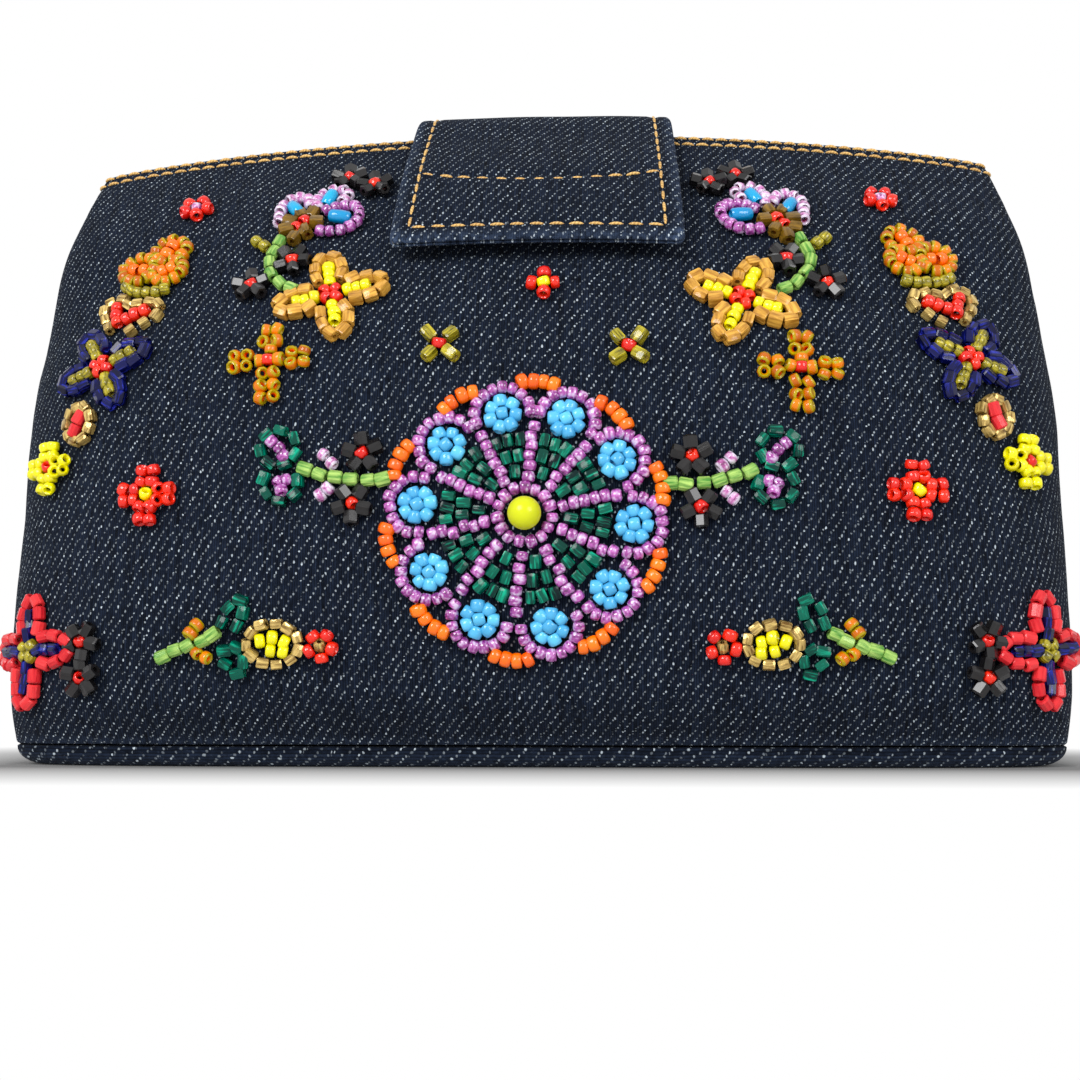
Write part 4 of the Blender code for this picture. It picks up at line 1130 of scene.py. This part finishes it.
def sew_mandala():
    """The round flower: ten petals edged in lilac, each with a blue flower over green tubes."""
    p = Patch(*MANDALA)
    petals, first = 10, 66.5
    step = 360 / petals

    def longer(direction):
        """The flower is a little longer below its middle."""
        return 1.035 - 0.045 * math.sin(math.radians(direction))

    p.ring("lilac_seed", 4.0, 15, angle=90)
    for k in range(petals):
        way = first + k * step
        grow = longer(way)
        centre = aside(way, 15.6 * grow)
        p.arc("lilac_seed", centre, 4.2, way - 98, way + 98, 10)
        flower = Patch(MANDALA[0] + centre[0], MANDALA[1] + centre[1], turn=bead_chances.uniform(0, 50))
        flower.ring("sky_seed", 1.95, 7)
        flower.bead("sky_seed", 0, 0, 0, raised=0.25)
        for radius, offsets in ((6.6, (0,)), (8.9, (-1.0, 1.0)), (11.3, (-1.75, 0, 1.75))):
            for offset in offsets:
                p.bead("teal_tube", *aside(way, radius * grow, offset), way + 7 * offset)
        spoke = way + step / 2
        grow = longer(spoke)
        for radius in spaced(5.75, 13.4, 6):
            p.polar("lilac_seed", radius * grow, spoke + bead_chances.uniform(-2, 2))
        p.arc("orange_seed", aside(spoke, 14.1 * grow), 6.3, spoke - 23, spoke + 23, 4)


def sew_star(patch, petals, outline="gold_tube", inner="yellow_seed", hearts="red_seed"):
    """Four long petals outlined in tubes round a row of seeds, with four seeds in the middle."""
    for way in petals:
        for along, off, slant in ((3.7, 2.0, -14), (5.9, 1.95, 10), (7.9, 1.0, 40)):
            for side in (-1, 1):
                patch.bead(outline, *aside(way, along, side * off), way - side * slant)
        for along in (2.6, 4.1, 5.6):
            patch.polar(inner, along, way, lean=8)
    for number in range(4):
        patch.polar(hearts, 1.15, petals[0] + 45 + 90 * number, 90, lean=10)


def sew_blossom(patch, petal, count, radius, heart="red_seed", start=90.0):
    """Tubes or seeds round a single seed."""
    patch.ring(petal, radius, count, start, lean=8)
    patch.bead(heart, 0, 0, start + 30, lean=35)


def sew_black_flower(across, up, start):
    sew_blossom(Patch(across, up), "black_tube", 5, 2.05, start=start)


def sew_pairs(patch, kind, way, places, apart, turns, leans):
    """Pairs of seeds along one arm of a flower, each turned and tipped by chance."""
    for along in places:
        for off in (-apart, apart):
            turn, lean = bead_chances.uniform(*turns), bead_chances.uniform(*leans)
            patch.bead(kind, *aside(way, along, off), way + turn, lean)


def sew_cross(patch):
    """Amber seeds round a red one: three arms of a seed and two pairs, and a lower one of three pairs."""
    patch.bead("red_seed", 0, 0, 90, lean=20)
    for way, pairs in ((90, (3.1, 5.4)), (270, (2.5, 4.6, 6.5)), (0, (3.5, 5.5)), (180, (3.5, 5.6))):
        if way != 270:
            patch.polar("amber_seed", 1.6, way + bead_chances.uniform(-9, 9), lean=12)
        sew_pairs(patch, "amber_seed", way, pairs, 0.95, (50, 130), (0, 65))


def sew_four_arms(patch, kind, heart):
    """A flower of four arms, each two by two seeds."""
    patch.bead(heart, 0, 0, 60, lean=40)
    for way in (90, 180, 270, 360):
        sew_pairs(patch, kind, way, (2.0, 3.9), 0.9, (-25, 25), (0, 45))


def sew_sprig(side, lift):
    """A green stem out of the round flower, with two black flowers and two green leaf loops."""
    p = Patch(0, lift, flip=side)
    stem = [(21.4, 42.0), (23.6, 41.8), (26.2, 41.9), (28.5, 42.4), (30.9, 42.9), (33.2, 43.8)]
    p.string("green_tube", stem)
    sew_black_flower(side * 24.5, 46.0 + lift, 95)
    sew_black_flower(side * 25.9, 38.3 + lift, 270)
    p.string("pink_seed", [(30.3, 45.8), (29.0, 44.6)])
    p.string("pink_seed", [(29.6, 40.7), (30.7, 39.7)])
    p.arc("teal_tube", (37.5, 47.2), 2.8, 205, -112, 7)
    p.arc("teal_tube", (36.9, 41.6), 2.75, 20, -190, 5)
    p.string("lilac_seed", [(36.4, 45.8), (37.3, 47.2), (38.5, 48.2)], lean=25)
    p.string("lilac_seed", [(35.9, 42.2), (37.2, 41.9), (36.6, 40.6)], lean=25)


def sew_lower_sprig(side, shift, lift):
    """A red flower, a gold ring with yellow seeds in it, two green leaves and a short stem."""
    sew_blossom(Patch(side * (29.0 + shift), 17.9 + lift), "red_seed", 5, 1.85, "silver_gold_tube", 60)
    p = Patch(shift, lift, flip=side)
    p.string("silver_gold_tube", oval(36.3, 18.2, 3.9, 3.0, 11), lean=8, closed=True)
    p.string("yellow_seed", [(34.5, 18.6), (36.2, 19.2), (38.1, 18.7)], lean=15)
    p.string("yellow_seed", [(34.6, 17.1), (36.5, 17.3)], lean=15)
    p.string("teal_tube", [(41.8, 21.0), (40.7, 22.8), (41.2, 24.8), (43.2, 23.6), (43.9, 21.4)])
    p.string("teal_tube", [(43.7, 17.2), (41.9, 17.5), (40.9, 15.8), (41.7, 13.8), (43.5, 15.2)])
    p.string("green_tube", [(45.4, 19.6), (47.0, 18.7)])
    p.string("green_tube", [(49.3, 17.9), (51.2, 17.2), (53.2, 16.4)])
    p.string("amber_seed", [(47.8, 21.1), (48.8, 19.9)], lean=25)
    p.string("amber_seed", [(47.9, 16.9), (46.4, 16.1)], lean=25)


def sew_top_spray(side, shift, lift):
    """Black flowers, three lilac loops round cyan drops, and a bent stem down from a brown heart."""
    p = Patch(shift, lift, flip=side)
    for x, y, start in ((28.6, 101.1, 95), (33.2, 104.0, 20), (39.9, 82.2, 60), (46.1, 77.6, 95)):
        sew_black_flower(side * (x + shift), y + lift, start)
    upper = [(37.6, 95.6), (37.7, 97.3), (36.8, 99.0), (35.3, 100.1)]
    upper += [(33.6, 99.8), (32.8, 98.3), (33.4, 96.6)]
    p.string("pink_seed", upper, 15)
    inner = [(35.8, 94.3), (34.4, 95.0), (32.9, 95.1), (31.4, 94.9), (30.5, 93.7), (30.2, 92.2)]
    inner += [(30.6, 90.7), (31.6, 89.5), (33.1, 88.8), (34.7, 88.7), (36.2, 89.0)]
    p.string("lilac_seed", inner, 12)
    outer = [(38.9, 96.4), (39.4, 97.9), (40.8, 98.7), (42.3, 98.2)]
    outer += [(43.2, 96.9), (43.5, 95.3), (43.5, 93.7), (43.4, 92.2)]
    p.string("pink_seed", outer, 15)
    for x, y, way in ((35.6, 97.3, 115), (33.4, 91.9, 8), (41.2, 95.3, 60)):
        p.bead("cyan_drop", x, y, way)
    heart = [(38.1, 93.6, 110), (40.1, 93.6, 70), (41.6, 91.9, 20), (42.0, 89.7, 340)]
    for x, y, way in heart + [(37.1, 91.2, 190), (38.7, 89.0, 240), (40.4, 87.8, 290)]:
        p.bead("brown_tube", x, y, way)
    p.string("red_seed", [(39.1, 91.5), (40.2, 90.1)], 20)
    stem = [(42.6, 87.0), (43.4, 84.6), (43.7, 82.1), (43.0, 79.5), (41.4, 77.2), (39.3, 75.6)]
    p.string("green_tube", stem)
    p.string("olive_seed", [(45.1, 86.5), (46.6, 87.9)], 10)


def sew_garland(side):
    """The chain of motifs down the side: red, amber, gold, navy, yellow and red flowers."""
    sew_blossom(Patch(side * 56.4, 100.2), "red_seed", 5, 1.95, "pink_seed", 60)
    p = Patch(0, 0, flip=side)
    p.arc("amber_seed", (59.0, 89.5), 2.55, 300, -30, 9, lean=20)
    p.arc("amber_seed", (59.0, 84.9), 2.5, 130, 380, 8, lean=20)
    p.arc("amber_seed", (64.2, 86.4), 2.7, 200, -130, 10, lean=20)
    p.string("orange_seed", [(58.8, 90.3), (59.5, 88.8)])
    p.string("orange_seed", [(58.4, 85.3), (59.9, 84.8)])
    p.string("orange_seed", [(63.3, 86.1), (65.0, 86.6)])
    leaf = [(59.0, 80.5), (60.6, 80.4), (62.2, 80.6), (63.7, 81.0), (65.1, 81.7), (66.2, 82.8)]
    p.string("olive_seed", leaf, 10)
    left = [(63.7, 78.2), (61.6, 78.2), (59.9, 77.2), (59.8, 75.0), (61.9, 73.5), (64.2, 72.3)]
    right = [(65.2, 78.7), (66.6, 80.2), (68.8, 80.2), (69.9, 78.4), (69.4, 76.1), (68.4, 73.9)]
    p.string("silver_gold_tube", left)
    p.string("silver_gold_tube", right)
    p.string("red_seed", [(62.1, 76.2), (63.7, 75.8), (65.3, 75.3)])
    p.string("red_seed", [(67.5, 78.3), (67.2, 76.6), (66.8, 74.9)])
    petals = [way if side > 0 else 180 - way for way in (64, 160, 247, 343)]
    sew_star(Patch(68.5 * side, 65.4), petals, "navy_tube", "olive_seed")
    p.string("silver_gold_tube", oval(72.4, 54.8, 2.5, 3.3, 9), closed=True)
    p.string("red_tube", [(71.9, 55.9), (72.9, 53.6)])
    sew_four_arms(Patch(58.5 * side, 41.2), "red_seed", "yellow_seed")
    sew_four_arms(Patch(78.6 * side, 47.2), "yellow_seed", "red_seed")
    sew_black_flower(68.4 * side, 18.8, 60)
    sew_black_flower(68.4 * side, 13.3, 20)
    sew_star(Patch(79.0 * side, 17.2), (5, 90, 180, 268), "red_tube", "navy_tube", "olive_seed")


def sew_beadwork():
    sew_mandala()
    sew_star(Patch(32.8, 72.9), (69, 159, 249, 339))
    sew_star(Patch(-30.9, 74.6), (100, 12, 282, 193))
    sew_blossom(Patch(2.2, 75.2), "red_seed", 4, 1.9, "yellow_seed")
    for across, up in ((-13.3, 64.1), (15.4, 63.4)):
        sew_blossom(Patch(across, up), "olive_tube", 4, 2.35, start=45)
    sew_cross(Patch(41.2, 60.6))
    sew_cross(Patch(-39.6, 62.8))
    sew_sprig(1, 0.0)
    sew_sprig(-1, 0.8)
    sew_lower_sprig(1, 0.0, 0.0)
    sew_lower_sprig(-1, 1.6, 0.2)
    sew_top_spray(1, 0.0, 0.0)
    sew_top_spray(-1, -2.0, 0.8)
    sew_garland(1)
    sew_garland(-1)


def make_beads():
    finishes = bead_finishes()
    for kind, (form, diameter, length, glass, slot, solids) in BEADS.items():
        shape = bead_shape(kind, form, diameter * MM, length * MM)
        placed = [(shape, matrix, tone) for matrix, tone in sewn[kind]]
        piece = gather(kind + "s", placed, finishes[glass], solids)
        piece.data.set_sharp_from_angle(angle=math.radians(60 if form == "seed" else 28))


def make_centre_bead(finish):
    radius, hole = CENTRE_BEAD / 2, CENTRE_BEAD / 10
    height = height_up_front(MANDALA[1] * MM)
    origin = off_skin(height, MANDALA[0] * MM, -1, GAP + radius)
    wall = [(radius * math.cos(a), radius * math.sin(a)) for a in spaced(-1.35, 1.35, 22)]
    shape = spun_bead("centre_bead_glass", [(hole, wall[0][1])] + wall + [(hole, wall[-1][1])], 40)
    over, rise, out = skin_frame(height, 0, -1)
    placed = [(shape, frame_matrix(origin, out, rise), 0.6)]
    gather("centre_bead_glass", placed, [finish] * 2, ["centre_bead"])


# Stage, light and camera


def make_stage():
    """A pale floor that fades to white past a soft shadow at the pouch's foot, painted by dimming the glow
    that the camera sees near the foot.
    """
    shape = bmesh.new()
    bmesh.ops.create_grid(shape, x_segments=1, y_segments=1, size=3.0)
    mesh = as_mesh(shape, "floor")
    f = Finish("pale floor")
    f.set(base_color=(0.8, 0.8, 0.8, 1.0), roughness=0.9)
    x, y = f.split(f.node("ShaderNodeTexCoord", {}, {}, 3))
    past_x = f.math("MAXIMUM", abs(x) - BASE_WIDTH / 2, 0.0)
    past_y = f.math("MAXIMUM", abs(y) - BASE_DEPTH / 2, 0.0)
    away = (past_x * past_x + past_y * past_y) ** 0.5
    # painted shadow: the glow and its share are lowest at the foot and rise to full at FOOT_SHADOW
    painted_shadow_glow = f.ramp(away, 0.0, FOOT_SHADOW, 0.01, 1.0) ** 0.65
    glow = f.node("ShaderNodeEmission", {}, {"Color": (1, 1, 1, 1), "Strength": painted_shadow_glow})
    seen = f.node("ShaderNodeLightPath", {}, {}) * f.ramp(away, 0.0, FOOT_SHADOW, 0.7, 1.0)
    lit = Value(f, f.shader.outputs[0])
    mixed = f.node("ShaderNodeMixShader", {}, {0: seen, 1: lit, 2: glow})
    f.put(f.tree.nodes["Material Output"].inputs["Surface"], mixed)
    mesh.materials.append(f.material)
    add_object("floor", mesh)


def add_lamp(name, place, size, power):
    """A round soft lamp that shines on the middle of the pouch."""
    light = bpy.data.lights.new(name, "AREA")
    light.shape = "DISK"
    light.size = size
    light.energy = power
    lamp = add_object(name, light)
    lamp.location = place
    lamp.rotation_euler = (Vector((0, 0, 0.05)) - Vector(place)).to_track_quat("-Z", "Y").to_euler()


def make_light():
    """A white world, seen at full strength by the camera and in gloss, and dimmer as light."""
    world = bpy.data.worlds.new("white studio")
    bpy.context.scene.world = world
    world.use_nodes = True
    w = Nodes(world.node_tree)
    background = w.tree.nodes["Background"]
    background.inputs["Color"].default_value = (1, 1, 1, 1)
    rays = [w.node("ShaderNodeLightPath", {}, {}, ray) for ray in ("Is Camera Ray", "Is Glossy Ray")]
    w.put(background.inputs["Strength"], w.ramp(w.math("MAXIMUM", *rays), 0.0, 1.0, WORLD_LIGHT, 1.0))
    add_lamp("key light", (-0.5, -0.85, 0.55), 0.6, 10.0)
    add_lamp("fill light", (0.6, -0.7, 0.35), 0.5, 4.0)


def make_camera():
    """The photo's lens and distance, turned slightly left so that the whole pouch is in view."""
    data = bpy.data.cameras.new("camera")
    data.lens = 54.4
    data.sensor_width = 36.0
    data.clip_start = 0.01
    camera = add_object("camera", data)
    camera.location = (14.7 * MM, -271.3 * MM, 13.0 * MM)
    camera.rotation_euler = (math.radians(90 + 5), 0, math.radians(3.0))
    bpy.context.scene.camera = camera


denim = denim_finish("indigo denim")
make_base(denim)
make_panel("denim_front", -1, denim, ["front_panel"])
make_panel("denim_back", 1, denim, ["back_panel"])
make_lining(plain_cloth_finish("dark cotton lining", (52, 50, 52)))
brass = metal_finish("zip brass", (206, 172, 104), 0.26)
zip_cloth = plain_cloth_finish("zip tape", (34, 36, 46), 1.2)
make_tapes(zip_cloth)
make_teeth(brass, zip_cloth)
make_tab(denim)
make_topstitching(thread_finish("gold topstitch thread", (236, 194, 114), (164, 118, 50)))
sew_beadwork()
make_beads()
make_centre_bead(bead_finish("lime glass", (208, 214, 24), (196, 204, 18), 0.22))
steel = metal_finish("snap steel", (190, 190, 192), 0.3)
for name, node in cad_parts.items():
    if not node.hide_render:
        node.data.materials.clear()
        node.data.materials.append(steel if "snap" in name else brass)
make_stage()
make_light()
make_camera()
bpy.context.scene.view_settings.view_transform = "Standard"
